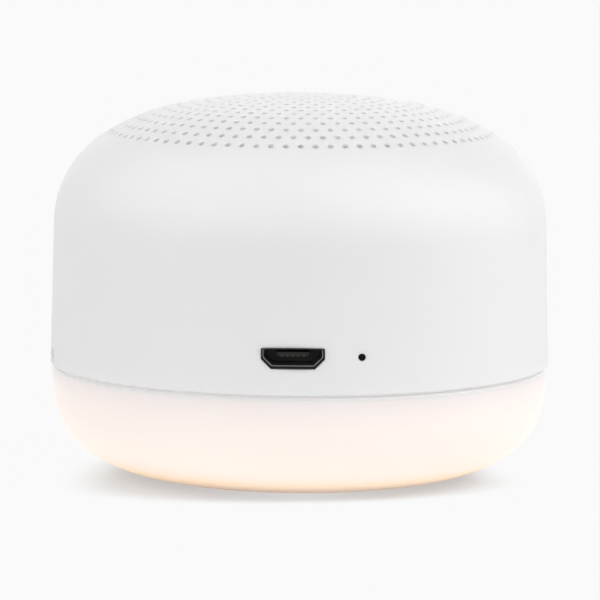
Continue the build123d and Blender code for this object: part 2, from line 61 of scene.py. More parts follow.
MAIN = "main_body"
COLUMNS = 180              # columns of faces round the housing and the diffuser
ROUND_STEPS = 3            # steps of a small rounded edge
SMALL = 0.0001             # metres, the usual rounding of an inner edge
ALONG = 0.001              # metres, how far off the point lies that gives a chain's end its direction
TINY = 1e-6                # metres, far below any size here
MILLIMETRES = 1000         # in a metre
BUTTONS = {
    "sound": 234.0,
    "volume_down": 258.0,
    "volume_up": 282.0,
    "light": 306.0,
}


# ---------------------------------------------------------------- settings
def length(name, description, default):
    return FloatProperty(name=name, description=description, default=default, min=0.0,
                         unit="LENGTH", precision=5)


def angle(name, description, degrees):
    return FloatProperty(name=name, description=description, default=math.radians(degrees),
                         unit="ROTATION")


def share(name, description, default, top=1.0):
    return FloatProperty(name=name, description=description, default=default, min=0.0,
                         max=top, subtype="FACTOR")


def colour(name, description, default):
    return FloatVectorProperty(name=name, description=description, default=default, size=3,
                               min=0.0, max=1.0, subtype="COLOR")


class HousingSettings(PropertyGroup):
    wall: length("Wall", "Thickness of the moulded wall", 0.0018)
    grille_wall: length("Grille wall", "Thickness of the wall behind the grille", 0.0010)
    draft: angle("Draft", "Angle that the wall leans inwards", 1.38)
    wall_top: length("Wall top", "Height where the straight wall ends", 0.0316)
    shoulder_radius: length("Shoulder", "Arc from the wall into the haunch", 0.013)
    shoulder_tilt: angle("Shoulder tilt", "Slope where the shoulder ends", 33.0)
    haunch_radius: length("Haunch", "Flatter arc up to the crown", 0.0267)
    crown_tilt: angle("Crown tilt", "Slope where the crown begins", 9.5)
    edge: length("Edge", "Rounding of the moulded edges", 0.00012)
    seam_edge: length("Seam edge", "Rounding of the two edges at the seam", 0.00018)
    hole_radius: length("Grille hole", "Radius of a grille hole", 0.00034)
    hole_edge: length("Hole edge", "Rounding of a grille hole's edge", 0.00005)
    hole_pitch: length("Grille pitch", "Distance from ring to ring of holes", 0.001685)
    hole_rings: IntProperty(name="Grille rings", description="Rings of holes round the middle one",
                            default=14, min=1)
    ledge_radius: length("Ledge", "Inner radius of the ledge that the speaker presses on", 0.0244)
    ledge_height: length("Ledge height", "Underside of that ledge", 0.039)
    rabbet_radius: length("Rebate", "Radius of the rebate that takes the bowl's tongue", 0.0301)
    rabbet_top: length("Rebate top", "Top of that rebate", 0.0151)
    pilot: length("Pilot hole", "Radius of the holes in the screw bosses", 0.00087)
    web: length("Web", "Thickness of the webs behind the screw bosses", 0.0016)
    tint: colour("Colour", "Colour of the housing", (0.90, 0.90, 0.905))


class OpeningSettings(PropertyGroup):
    port_offset: length("Port offset", "Port's middle from the axis", 0.00075)
    port_height: length("Port height", "Port's middle above the table", 0.01843)
    port_width: length("Port width", "Width of the port's cut-out", 0.0075)
    port_tall: length("Port tall", "Height of the port's cut-out", 0.00245)
    port_chamfer: length("Port corner", "Cut at the two lower corners", 0.00115)
    port_round: length("Port rounding", "Rounding of the port's corners", 0.00022)
    sheet: length("Sheet", "Thickness of the connector's steel sheet", 0.0002)
    shell_chamfer: length("Shell corner", "Cut at the steel shell's two lower corners", 0.00108)
    shell_round: length("Shell rounding", "Rounding of the steel shell's corners", 0.0004)
    indicator_offset: length("Indicator offset", "Indicator hole from the axis", 0.00736)
    indicator_height: length("Indicator height", "Indicator hole above the table", 0.01854)
    indicator_radius: length("Indicator", "Radius of the indicator hole", 0.00045)
    lanyard_azimuth: angle("Lanyard azimuth", "Direction of the lanyard bar", 4.6)
    lanyard_height: length("Lanyard height", "Middle of the lanyard holes", 0.01515)
    lanyard_width: length("Lanyard hole", "Width of each lanyard hole", 0.0026)
    lanyard_tall: length("Lanyard hole height", "Height of each lanyard hole", 0.0016)
    lanyard_round: length("Lanyard rounding", "Rounding of the lanyard holes' corners", 0.0006)
    lanyard_bar: length("Lanyard bar", "Width of the bar between the holes", 0.0024)
    lanyard_wall: angle("Lanyard wall", "Half the angle where the wall keeps its thickness", 9.5)
    lanyard_gap: angle("Lanyard gap", "Half the angle of the gap in the bowl's tongue", 12.5)


class DiffuserSettings(PropertyGroup):
    wall: length("Wall", "Thickness of the milky wall", 0.0018)
    rim_height: length("Rim height", "Height of the rim at the seam", 0.0137)
    flank_radius: length("Flank", "Arc of the side", 0.0448)
    corner_radius: length("Corner", "Arc between side and belly", 0.0088)
    belly_radius: length("Belly", "Arc into the flat bottom", 0.0172)
    flank_tilt: angle("Flank tilt", "Slope where the side ends", 81.6)
    corner_tilt: angle("Corner tilt", "Slope where the corner ends", 33.8)
    tongue_inner: length("Tongue inside", "Inner radius of the tongue", 0.02895)
    tongue_outer: length("Tongue outside", "Outer radius of the tongue", 0.02995)
    edge: length("Edge", "Rounding of the rim's edge", 0.00018)
    seat_height: length("Screw seat", "Height of the faces that the screw heads rest on", 0.0024)
    seat_radius: length("Screw seat radius", "Radius of the recess for a screw head", 0.002)
    screw_hole: length("Screw hole", "Radius of a clearance hole", 0.0011)
    boss_radius: length("Boss", "Radius of a screw boss", 0.0032)
    boss_top: length("Boss top", "Top of a screw boss", 0.0036)
    tint: colour("Colour", "Colour of the milky plastic", (0.80, 0.79, 0.78))
    glow: share("Glow", "Strength of the night light", 1.0, 5.0)
    thrown: share("Thrown", "Share of that light which falls on other things", 0.35)
    # Painted shade: the line under the rim is made darker to stand for the shade that falls there.
    rim_line: length("Rim line", "Height of the greyer line under the rim", 0.0003)


class ButtonSettings(PropertyGroup):
    radius: length("Radius", "Radius of a cap", 0.00325)
    clearance: length("Clearance", "Gap between cap and housing", 0.00015)
    proud: length("Proud", "Height of a cap above the wall", 0.00045)
    height: length("Height", "Middle of the caps above the table", 0.0196)
    crown: length("Edge", "Rounding of a cap's edge", 0.0003)
    icon_depth: length("Mark depth", "Depth of the mark on a cap", 0.00012)
    flange_radius: length("Flange", "Radius of the flange behind the wall", 0.004)
    flange: length("Flange thickness", "Thickness of that flange", 0.0008)
    stem_radius: length("Stem", "Radius of the stem that meets the switch", 0.0011)
    stem_back: length("Stem end", "Distance of the stem's end from the axis", 0.02775)
    tint: colour("Colour", "Colour of the caps", (0.80, 0.80, 0.805))
    mark: colour("Mark colour", "Colour of the marks", (0.20, 0.21, 0.22))


class StageSettings(PropertyGroup):
    distance: length("Distance", "Camera to the object's axis", 0.496)
    elevation: angle("Elevation", "Camera above the horizon", 6.95)
    roll: angle("Roll", "Camera turned about its own axis", 0.40)
    target_height: length("Target", "Height that the camera looks at", 0.021635)
    target_side: length("Target side", "Sideways aim from the axis", 0.00004)
    lens: FloatProperty(name="Lens", description="Focal length in millimetres", default=238.7,
                        min=1.0, unit="CAMERA")
    light: share("Light", "Level of the soft lamps", 1.0, 2.0)
    softness: angle("Softness", "Angle that each soft lamp covers", 60.0)
    floor: share("Floor", "Brightness of the pale floor and backdrop", 0.956)
    floor_lit: share("Floor lit", "Share of the floor's light that it throws back", 0.90)
    shade: share("Shade", "Paleness in the middle of the object's deep shade", 0.65)
    shade_side: length("Shade side", "Middle of the deep shade, sideways", 0.0005)
    shade_ahead: length("Shade ahead", "Middle of the deep shade, towards the camera", 0.0102)
    shade_wide: length("Shade width", "Reach of the deep shade sideways", 0.01565)
    shade_front: length("Shade front", "Reach of the deep shade towards the camera", 0.0078)
    shade_back: length("Shade back", "Reach of the deep shade away from the camera", 0.0215)
    shade_turn: angle("Shade turn", "Direction of the deep shade", 7.4)


# Soft lamps of the stage: azimuth and elevation in degrees, and the light on a face turned to each.
LAMPS = (
    (45, 15, 0.355),
    (180, 15, 0.418),
    (270, 12, 0.165),
    (0, 45, 0.316),
    (135, 45, 0.445),
)

# The deep shade on the floor, in parts of its reach and of the floor's paleness.
SHADE_CORE = 1.34          # where it begins to fade
SHADE_END = 1.85           # where it has faded out
SHADE_SIDES = 0.17         # how much deeper it is one reach to either side
SHADE_PALE = 0.995         # paleness past its end

# Screw bosses of the housing: azimuths, then metres for the place from the axis, the radius, the
# bottom, the top, the depth of the pilot hole and the reach of the web, which ends inside the wall.
BOSSES = (
    ((45, 135, 205, 335), 0.0269, 0.0024, 0.0154, 0.0226, 0.0065, 0.0298),
    ((30, 150, 270), 0.0270, 0.0021, 0.0262, 0.0348, 0.0056, 0.0291),
)
SCREW_PLACES = ((0.0105, 0.007), (-0.0105, 0.007), (-0.0105, -0.007), (0.0105, -0.007))

# Painted glow that the bowl gives off, by height in millimetres: it stands for the light board's light
# shining through, is dimmer under the rim with painted shade, and bright again on the tongue at the seam.
PAINTED_GLOW = (
    (0.4, (0.16, 0.06, 0.005)),
    (1.25, (0.20, 0.085, 0.005)),
    (2.25, (0.44, 0.24, 0.065)),
    (3.25, (0.39, 0.28, 0.19)),
    (4.5, (0.365, 0.275, 0.205)),
    (7.5, (0.32, 0.235, 0.175)),
    (11.4, (0.25, 0.175, 0.15)),
    (13.05, (0.16, 0.12, 0.115)),
    (13.45, (0.12, 0.10, 0.095)),
    (13.64, (0.12, 0.11, 0.11)),
    (13.72, (0.36, 0.345, 0.35)),
)

GROUPS = {
    "noise_housing": HousingSettings,
    "noise_openings": OpeningSettings,
    "noise_diffuser": DiffuserSettings,
    "noise_buttons": ButtonSettings,
    "noise_stage": StageSettings,
}


# ---------------------------------------------------------------- sections and skins
def circle(count):
    """Outline of no size whose normals point all round, for turned shapes."""
    turns = [2 * math.pi * step / count for step in range(count)]
    return [(Vector((0, 0)), Vector((math.cos(turn), math.sin(turn)))) for turn in turns]


def rounded(corners, closed=False, steps=ROUND_STEPS):
    """Points and outward normals along (x, y, rounding) corners that keep the material on their left.
    An open chain leaves out its two ends; a rounding of 0 is a point on a smooth stretch."""
    made = []
    last = len(corners)
    for number in range(last) if closed else range(1, last - 1):
        here = Vector(corners[number][:2])
        rounding = corners[number][2]
        back = (Vector(corners[number - 1][:2]) - here).normalized()
        ahead = (Vector(corners[(number + 1) % last][:2]) - here).normalized()
        first = Vector((-back.y, back.x))
        if rounding == 0:
            made.append((here, (first + Vector((ahead.y, -ahead.x))).normalized()))
            continue
        turn = math.atan2(ahead.cross(back), -ahead.dot(back))
        side = math.copysign(1, turn)
        centre = here - side * first.lerp(Vector((ahead.y, -ahead.x)), 0.5).normalized() \
            * rounding / math.cos(turn / 2)
        start = math.atan2(first.y, first.x)
        for step in range(steps + 1):
            way = start + turn * step / steps
            normal = Vector((math.cos(way), math.sin(way)))
            made.append((centre + side * rounding * normal, normal))
    return made


def swung(centre, radius, first, last, count):
    """Smooth points of an arc, given in degrees, as corners for rounded."""
    turns = [math.radians(first + (last - first) * step / count) for step in range(count + 1)]
    return [(centre[0] + radius * math.cos(turn), centre[1] + radius * math.sin(turn), 0) for turn in turns]


class Arcs:
    """Arcs that follow one another smoothly, as a section in (radius, height)."""

    def __init__(self, start, tilts, radii):
        self.tilts = tilts
        self.radii = radii
        self.centres = []
        point = Vector(start)
        for radius, first, last in zip(radii, tilts, tilts[1:]):
            centre = point - radius * self.normal(first)
            self.centres.append(centre)
            point = centre + radius * self.normal(last)
        self.end = point

    @staticmethod
    def normal(tilt):
        return Vector((math.sin(tilt), math.cos(tilt)))

    def rows(self, number, inset, count, last=None):
        """Points and normals along one arc, moved in by inset."""
        first = self.tilts[number]
        last = self.tilts[number + 1] if last is None else last
        made = []
        for step in range(count + 1):
            normal = self.normal(first + (last - first) * step / count)
            made.append((self.centres[number] + (self.radii[number] - inset) * normal, normal))
        return made

    def above(self, radius, inset):
        """Height and normal over a distance from the axis."""
        for number in reversed(range(len(self.radii))):
            reach = self.radii[number] - inset
            sine = (radius - self.centres[number].x) / reach
            if sine <= math.sin(self.tilts[number]) + TINY:
                tilt = math.asin(max(-1.0, min(1.0, sine)))
                return self.centres[number].y + reach * math.cos(tilt), self.normal(tilt)
        raise ValueError("that distance is outside the arcs")


class Skin:
    """Outside of the housing: a drafted wall, a shoulder, a haunch and a crown."""

    def __init__(self, sizes):
        self.base = housing_low.z
        self.base_radius = housing_high.x
        self.lean = math.tan(sizes.draft)
        self.slant = math.cos(sizes.draft)
        self.wall_normal = Vector((math.cos(sizes.draft), math.sin(sizes.draft)))
        top = (self.wall_radius(sizes.wall_top), sizes.wall_top)
        tilts = (math.pi / 2 - sizes.draft, sizes.shoulder_tilt, sizes.crown_tilt)
        radii = (sizes.shoulder_radius, sizes.haunch_radius)
        crown = Arcs(top, tilts, radii).end.x / math.sin(sizes.crown_tilt)
        self.arcs = Arcs(top, tilts + (0.0,), radii + (crown,))
        if abs(self.arcs.end.y - housing_high.z) > SMALL:
            raise ValueError("the housing's settings don't give the height of the frame")

    def wall_radius(self, height, inset=0.0):
        return self.base_radius - (height - self.base) * self.lean - inset / self.slant

    def on_wall(self, azimuth):
        """Placing of points on the wall, seen square from outside at an azimuth."""
        outwards = Vector((math.cos(azimuth), math.sin(azimuth), 0))
        sideways = Vector((-outwards.y, outwards.x, 0))
        upwards = Vector((0, 0, 1))

        def place(side, up, along):
            radius = self.wall_radius(up, -along)
            reach = math.sqrt(radius ** 2 - side ** 2)
            spot = sideways * side + outwards * reach
            away = spot.normalized() * self.wall_normal.x + upwards * self.wall_normal.y
            return spot + upwards * up, (sideways, upwards, away)
        return place


def upright(x=0.0, y=0.0, turn=0.0):
    """Placing of points about an upright axis, turned by an angle."""
    spin = Matrix.Rotation(turn, 3, "Z")
    axes = tuple(spin @ Vector(axis) for axis in ((1, 0, 0), (0, 1, 0), (0, 0, 1)))
    return lambda side, up, along: (Vector((x, y, 0)) + spin @ Vector((side, up, along)), axes)


# ---------------------------------------------------------------- mesh making
class Shell:
    """Points with their own normals, joined by faces into closed meshes."""

    def __init__(self):
        self.points = []
        self.normals = []
        self.faces = []
        self.marks = []

    def add(self, point, normal):
        self.points.append(point)
        self.normals.append(normal.normalized())
        return len(self.points) - 1

    def face(self, corners, mark=0):
        self.faces.append(corners)
        self.marks.append(mark)

    def bridge(self, first, second, mark=0):
        """Quads between two closed loops of as many points."""
        for step, corner in enumerate(first):
            after = (step + 1) % len(first)
            self.face((corner, first[after], second[after], second[step]), mark)

    def sweep(self, outline, chain, place, mark=0):
        """Carries an outline along a chain of (distance out, distance along) points and normals."""
        loops = []
        for spot, slope in chain:
            loop = []
            for corner, out in outline:
                point, axes = place(*(corner + out * spot[0]), spot[1])
                normal = (axes[0] * out[0] + axes[1] * out[1]) * slope[0] + axes[2] * slope[1]
                loop.append(self.add(point, normal))
            loops.append(loop)
        for first, second in zip(loops, loops[1:]):
            self.bridge(first, second, mark)
        return loops

    def chart(self, outer, holes=(), loose=(), flat=lambda point: point.xy, mark=0):
        """Fills between an outer loop and the holes in it, laid out flat by the function flat."""
        def laid(loop):
            return [Vector(flat(self.points[corner])) * MILLIMETRES for corner in loop]

        loops = [outer, *holes]
        corners = [corner for loop in loops for corner in loop] + list(loose)
        spots = laid(corners)
        owner = [number for number, loop in enumerate(loops) for corner in loop] + [0] * len(loose)
        edges = []
        for loop in loops:
            start = len(edges)
            edges += [(start + step, start + (step + 1) % len(loop)) for step in range(len(loop))]
        found = delaunay_2d_cdt(spots, edges, [], 1, 1e-7)
        for face in found[2]:
            ids = [found[3][corner][0] for corner in face]
            number = owner[ids[0]]
            if number and all(owner[corner] == number for corner in ids):
                middle = sum((spots[corner] for corner in ids), Vector((0, 0))) / 3
                if inside(middle, laid(loops[number])):
                    continue
            self.face([corners[corner] for corner in ids], mark)

    def built(self, name, materials):
        """Object with outward faces and the normals that its points were given."""
        mesh = bpy.data.meshes.new(name)
        mesh.from_pydata(self.points, [], self.faces)
        mesh.polygons.foreach_set("material_index", self.marks)
        form = bmesh.new()
        form.from_mesh(mesh)
        bmesh.ops.recalc_face_normals(form, faces=form.faces)
        form.to_mesh(mesh)
        form.free()
        mesh.shade_smooth()
        mesh.normals_split_custom_set_from_vertices(self.normals)
        for material in materials:
            mesh.materials.append(material)
        made = bpy.data.objects.new(name, mesh)
        bpy.context.scene.collection.objects.link(made)
        return made


def inside(spot, polygon):
    """Whether a flat spot lies in a polygon."""
    found = False
    for first, second in zip(polygon, polygon[1:] + polygon[:1]):
        if (first.y > spot.y) != (second.y > spot.y):
            crossing = first.x + (spot.y - first.y) * (second.x - first.x) / (second.y - first.y)
            found ^= spot.x < crossing
    return found


def aways(azimuth):
    """Angle between each column of faces and an azimuth."""
    turns = [column * 2 * math.pi / COLUMNS - azimuth for column in range(COLUMNS)]
    return [abs((turn + math.pi) % (2 * math.pi) - math.pi) for turn in turns]


def unrolled(ahead):
    """Flat place of points on the upright wall, cut open opposite the azimuth ahead."""
    def flat(point):
        turn = (math.atan2(point.y, point.x) - ahead + math.pi) % (2 * math.pi) - math.pi
        return (turn + ahead) * housing_high.x, point.z
    return flat


def skin_grid(shell, sections, openings, clear=0.0007):
    """Turned skin with one section for each column, left open round the loops in openings.
    Returns its first and its last ring."""
    rows = len(sections[0])
    step = 2 * math.pi / COLUMNS
    margin = 0.3            # of a column, kept free beside an opening
    grid = {}

    def corner(column, row):
        column %= COLUMNS
        if (column, row) not in grid:
            spot, slope = sections[column][row]
            way = Vector((math.cos(column * step), math.sin(column * step), 0))
            up = Vector((0, 0, 1))
            grid[column, row] = shell.add(way * spot[0] + up * spot[1], way * slope[0] + up * slope[1])
        return grid[column, row]

    covered = set()
    for loop in openings:
        flat = unrolled(math.atan2(shell.points[loop[0]].y, shell.points[loop[0]].x))
        rim = [Vector(flat(shell.points[i])) for i in loop]
        turns = [spot.x / housing_high.x / step for spot in rim]
        heights = [spot.y for spot in rim]
        low, high = math.floor(min(turns) - margin), math.ceil(max(turns) + margin)
        levels = [spot[1] for spot, _ in sections[low % COLUMNS]]
        order = 1 if levels[-1] > levels[0] else -1
        below = [row for row in range(rows) if levels[row] < min(heights) - clear / 8]
        above = [row for row in range(rows) if levels[row] > max(heights) + clear / 8]
        first, last = (below[-1], above[0]) if order > 0 else (above[-1], below[0])
        covered |= {(column % COLUMNS, row) for column in range(low, high) for row in range(first, last)}
        frame_loop = [corner(column, first) for column in range(low, high)]
        frame_loop += [corner(high, row) for row in range(first, last)]
        frame_loop += [corner(column, last) for column in range(high, low, -1)]
        frame_loop += [corner(low, row) for row in range(last, first, -1)]
        loose = []
        for column in range(low + 1, high):
            for row in range(first + 1, last):
                spot = Vector((column * step * housing_high.x, sections[column % COLUMNS][row][0][1]))
                if not inside(spot, rim) and min((spot - other).length for other in rim) > clear:
                    loose.append(corner(column, row))
        shell.chart(frame_loop, [loop], loose, flat)
    for column in range(COLUMNS):
        for row in range(rows - 1):
            if (column, row) not in covered:
                shell.face((corner(column, row), corner(column + 1, row),
                            corner(column + 1, row + 1), corner(column, row + 1)))
    return [[corner(column, row) for column in range(COLUMNS)] for row in (0, rows - 1)]


def hole_chain(edge, depth):
    """Section of a hole through a wall, rounded at both faces."""
    return rounded([(2 * edge, 0), (0, 0, edge), (0, -depth, edge), (2 * edge, -depth)])


# ---------------------------------------------------------------- shader groups
class Tree:
    """Node tree that is filled in a few words."""

    def __init__(self, tree):
        self.tree = tree

    def link(self, output, socket):
        self.tree.links.new(output, socket)

    def add(self, kind, inputs=None, **settings):
        node = self.tree.nodes.new(kind)
        for name, value in settings.items():
            setattr(node, name, value)
        for name, value in (inputs or {}).items():
            if isinstance(value, bpy.types.NodeSocket):
                self.link(value, node.inputs[name])
            else:
                node.inputs[name].default_value = value
        return node

    def math(self, operation, *values, clamp=False):
        return self.add("ShaderNodeMath", dict(enumerate(values)), operation=operation,
                        use_clamp=clamp).outputs[0]

    def mix(self, factor, first, second):
        """Colour between two colours."""
        ends = [end if isinstance(end, bpy.types.NodeSocket) else (*end, 1) for end in (first, second)]
        return self.add("ShaderNodeMix", {0: factor, 6: ends[0], 7: ends[1]}, data_type="RGBA").outputs[2]

    def spread(self, value, low, high, to_low=0.0, to_high=1.0):
        return self.add("ShaderNodeMapRange", {"Value": value, "From Min": low, "From Max": high,
                                               "To Min": to_low, "To Max": to_high}).outputs[0]


def group(name, inputs, outputs, fill):
    """Shader node group, made once."""
    if name in bpy.data.node_groups:
        return bpy.data.node_groups[name]
    made = bpy.data.node_groups.new(name, "ShaderNodeTree")
    for label, kind, default in inputs:
        socket = made.interface.new_socket(label, in_out="INPUT", socket_type=kind)
        if default is not None:
            socket.default_value = default
    for label, kind in outputs:
        made.interface.new_socket(label, in_out="OUTPUT", socket_type=kind)
    tree = Tree(made)
    source = tree.add("NodeGroupInput").outputs
    results = fill(tree, source)
    tree.add("NodeGroupOutput", dict(zip([label for label, kind in outputs], results)))
    return made


def grain_group():
    """Fine moulded or cast texture, with broad soft patches of tone."""
    def fill(tree, source):
        fine = tree.add("ShaderNodeTexNoise", {"Vector": source["Place"], "Scale": source["Scale"],
                                               "Detail": 2.0, "Roughness": 0.6})
        coarse_scale = tree.math("MULTIPLY", source["Scale"], 0.16)
        coarse = tree.add("ShaderNodeTexNoise", {"Vector": source["Place"], "Scale": coarse_scale,
                                                 "Detail": 1.0})
        patch = tree.add("ShaderNodeTexNoise", {"Vector": source["Place"], "Scale": source["Patches"],
                                                "Detail": 3.0})
        height = tree.math("MULTIPLY_ADD", coarse.outputs[0], 0.35, fine.outputs[0])
        return height, tree.spread(patch.outputs[0], 0.3, 0.7)
    return group("moulded_grain", [("Place", "NodeSocketVector", None), ("Scale", "NodeSocketFloat", 5000.0),
                                   ("Patches", "NodeSocketFloat", 60.0)],
                 [("Height", "NodeSocketFloat"), ("Patch", "NodeSocketFloat")], fill)


def wear_group():
    """Mask of the edges that hands and handling rub."""
    def fill(tree, source):
        bend = tree.add("ShaderNodeNewGeometry").outputs["Pointiness"]
        edge = tree.spread(bend, 0.515, 0.60)
        broken = tree.add("ShaderNodeTexNoise", {"Vector": source["Place"], "Scale": 900.0, "Detail": 3.0})
        spots = tree.spread(broken.outputs[0], 0.35, 0.65)
        return (tree.math("MULTIPLY", tree.math("MULTIPLY", edge, spots), source["Amount"], clamp=True),)
    return group("edge_wear", [("Place", "NodeSocketVector", None), ("Amount", "NodeSocketFloat", 0.5)],
                 [("Mask", "NodeSocketFloat")], fill)


def dust_group():
    """Mask of the faint dust that settles on what faces up."""
    def fill(tree, source):
        normal = tree.add("ShaderNodeNewGeometry").outputs["Normal"]
        up = tree.add("ShaderNodeSeparateXYZ", {"Vector": normal}).outputs["Z"]
        specks = tree.add("ShaderNodeTexNoise", {"Vector": source["Place"], "Scale": 2600.0, "Detail": 4.0,
                                                 "Roughness": 0.8})
        drift = tree.add("ShaderNodeTexNoise", {"Vector": source["Place"], "Scale": 90.0, "Detail": 2.0})
        lying = tree.math("MULTIPLY", tree.spread(up, 0.3, 1.0), tree.spread(specks.outputs[0], 0.55, 0.8))
        uneven = tree.spread(drift.outputs[0], 0.3, 0.7, 0.3, 1.0)
        return (tree.math("MULTIPLY", tree.math("MULTIPLY", lying, uneven), source["Amount"], clamp=True),)
    return group("settled_dust", [("Place", "NodeSocketVector", None), ("Amount", "NodeSocketFloat", 0.3)],
                 [("Mask", "NodeSocketFloat")], fill)


def scratch_group():
    """Height of fine strokes that run round or across a metal face."""
    def fill(tree, source):
        stretched = tree.add("ShaderNodeVectorMath", {0: source["Place"], 1: source["Stretch"]},
                             operation="MULTIPLY")
        strokes = tree.add("ShaderNodeTexNoise", {"Vector": stretched.outputs[0], "Scale": 1.0,
                                                  "Detail": 3.0, "Roughness": 0.7})
        return (strokes.outputs[0],)
    return group("brushed_strokes", [("Place", "NodeSocketVector", None),
                                     ("Stretch", "NodeSocketVector", (300.0, 300.0, 9000.0))],
                 [("Height", "NodeSocketFloat")], fill)


# ---------------------------------------------------------------- materials
def seen_ray(tree):
    """1 on rays that show a surface to the camera, in a mirror or through glass."""
    path = tree.add("ShaderNodeLightPath").outputs
    seen = tree.math("MAXIMUM", path["Is Camera Ray"], path["Is Glossy Ray"])
    return tree.math("MAXIMUM", seen, path["Is Transmission Ray"])


class Finish:
    """One material under way: its tree, its shader and the place on the object."""

    def __init__(self, name, tint, metallic=0.0, **sockets):
        self.material = bpy.data.materials.get(name) or bpy.data.materials.new(name)
        self.fresh = "finished" not in self.material
        if not self.fresh:
            return
        self.material["finished"] = True
        self.material.use_nodes = True
        self.material.diffuse_color = (*tint, 1)
        self.material.node_tree.nodes.clear()
        self.tree = Tree(self.material.node_tree)
        self.place = self.tree.add("ShaderNodeTexCoord").outputs["Object"]
        self.shader = self.tree.add("ShaderNodeBsdfPrincipled", {"Metallic": metallic, **sockets})
        self.output = self.tree.add("ShaderNodeOutputMaterial", {"Surface": self.shader.outputs[0]})

    def use(self, made, **inputs):
        """Places a shader group."""
        return self.tree.add("ShaderNodeGroup", {"Place": self.place, **inputs}, node_tree=made).outputs

    def ends(self, base, rough, height=None, depth=0.0):
        """Links the colour, roughness and bump, and gives the material."""
        self.tree.link(base, self.shader.inputs["Base Color"])
        self.tree.link(rough, self.shader.inputs["Roughness"])
        if height is not None:
            bump = self.tree.add("ShaderNodeBump", {"Height": height, "Distance": depth, "Strength": 1.0})
            self.tree.link(bump.outputs[0], self.shader.inputs["Normal"])
        return self.material


def darker(tint, factor):
    """Colour with its light cut, or raised by a factor above 1."""
    return tuple(max(0.0, min(1.0, part * factor)) for part in tint)


def moulded(name, tint, roughness, scale, depth, dust=0.12, wear=0.1, uneven=0.02, **sockets):
    """Moulded plastic or rubber: grain, soft patches, rubbed edges and a little dust."""
    finish = Finish(name, tint, **sockets)
    if not finish.fresh:
        return finish.material
    tree = finish.tree
    grain = finish.use(grain_group(), Scale=scale)
    worn = finish.use(wear_group(), Amount=wear)["Mask"]
    dusty = finish.use(dust_group(), Amount=dust)["Mask"]
    base = tree.mix(grain["Patch"], darker(tint, 1 - uneven), darker(tint, 1 + uneven))
    base = tree.mix(worn, base, darker(tint, 1.12))
    base = tree.mix(dusty, base, (0.62, 0.60, 0.57))
    rough = tree.spread(grain["Patch"], 0.0, 1.0, roughness - 0.03, roughness + 0.03)
    rough = tree.math("MULTIPLY_ADD", worn, -0.12, rough)
    rough = tree.math("MULTIPLY_ADD", dusty, 0.25, rough, clamp=True)
    return finish.ends(base, rough, grain["Height"], depth)


def metal(name, tint, roughness, stretch):
    """Bare or plated metal: strokes of the tool, patches of tarnish and bright edges."""
    finish = Finish(name, tint, metallic=1.0)
    if not finish.fresh:
        return finish.material
    tree = finish.tree
    strokes = finish.use(scratch_group(), Stretch=stretch)["Height"]
    grain = finish.use(grain_group(), Scale=2600.0, Patches=240.0)
    worn = finish.use(wear_group(), Amount=0.6)["Mask"]
    base = tree.mix(grain["Patch"], darker(tint, 0.88), tint)
    base = tree.mix(worn, base, darker(tint, 1.15))
    rough = tree.spread(strokes, 0.25, 0.75, roughness - 0.08, roughness + 0.10)
    rough = tree.math("MULTIPLY_ADD", worn, -0.1, rough, clamp=True)
    return finish.ends(base, rough, strokes, 4e-7)


def woven(name, tint, roughness, thread, depth=4e-5, gap=0.55):
    """Cloth or mesh of crossing threads, seen from above."""
    finish = Finish(name, tint)
    if not finish.fresh:
        return finish.material
    tree = finish.tree
    waves = []
    for direction in ("X", "Y"):
        wave = tree.add("ShaderNodeTexWave", {"Vector": finish.place, "Scale": 1 / (2 * math.pi * thread),
                                              "Distortion": 0.3, "Detail": 1.0},
                        bands_direction=direction, wave_profile="SIN")
        waves.append(wave.outputs["Fac"])
    over = tree.math("MAXIMUM", *waves)
    fuzz = finish.use(grain_group(), Scale=9000.0, Patches=130.0)
    base = tree.mix(over, darker(tint, gap), tint)
    base = tree.mix(fuzz["Patch"], base, tree.mix(0.5, base, darker(tint, 0.9)))
    rough = tree.spread(fuzz["Height"], 0.2, 1.0, roughness - 0.05, roughness + 0.05)
    height = tree.math("MULTIPLY_ADD", fuzz["Height"], 0.15, over)
    return finish.ends(base, rough, height, depth)


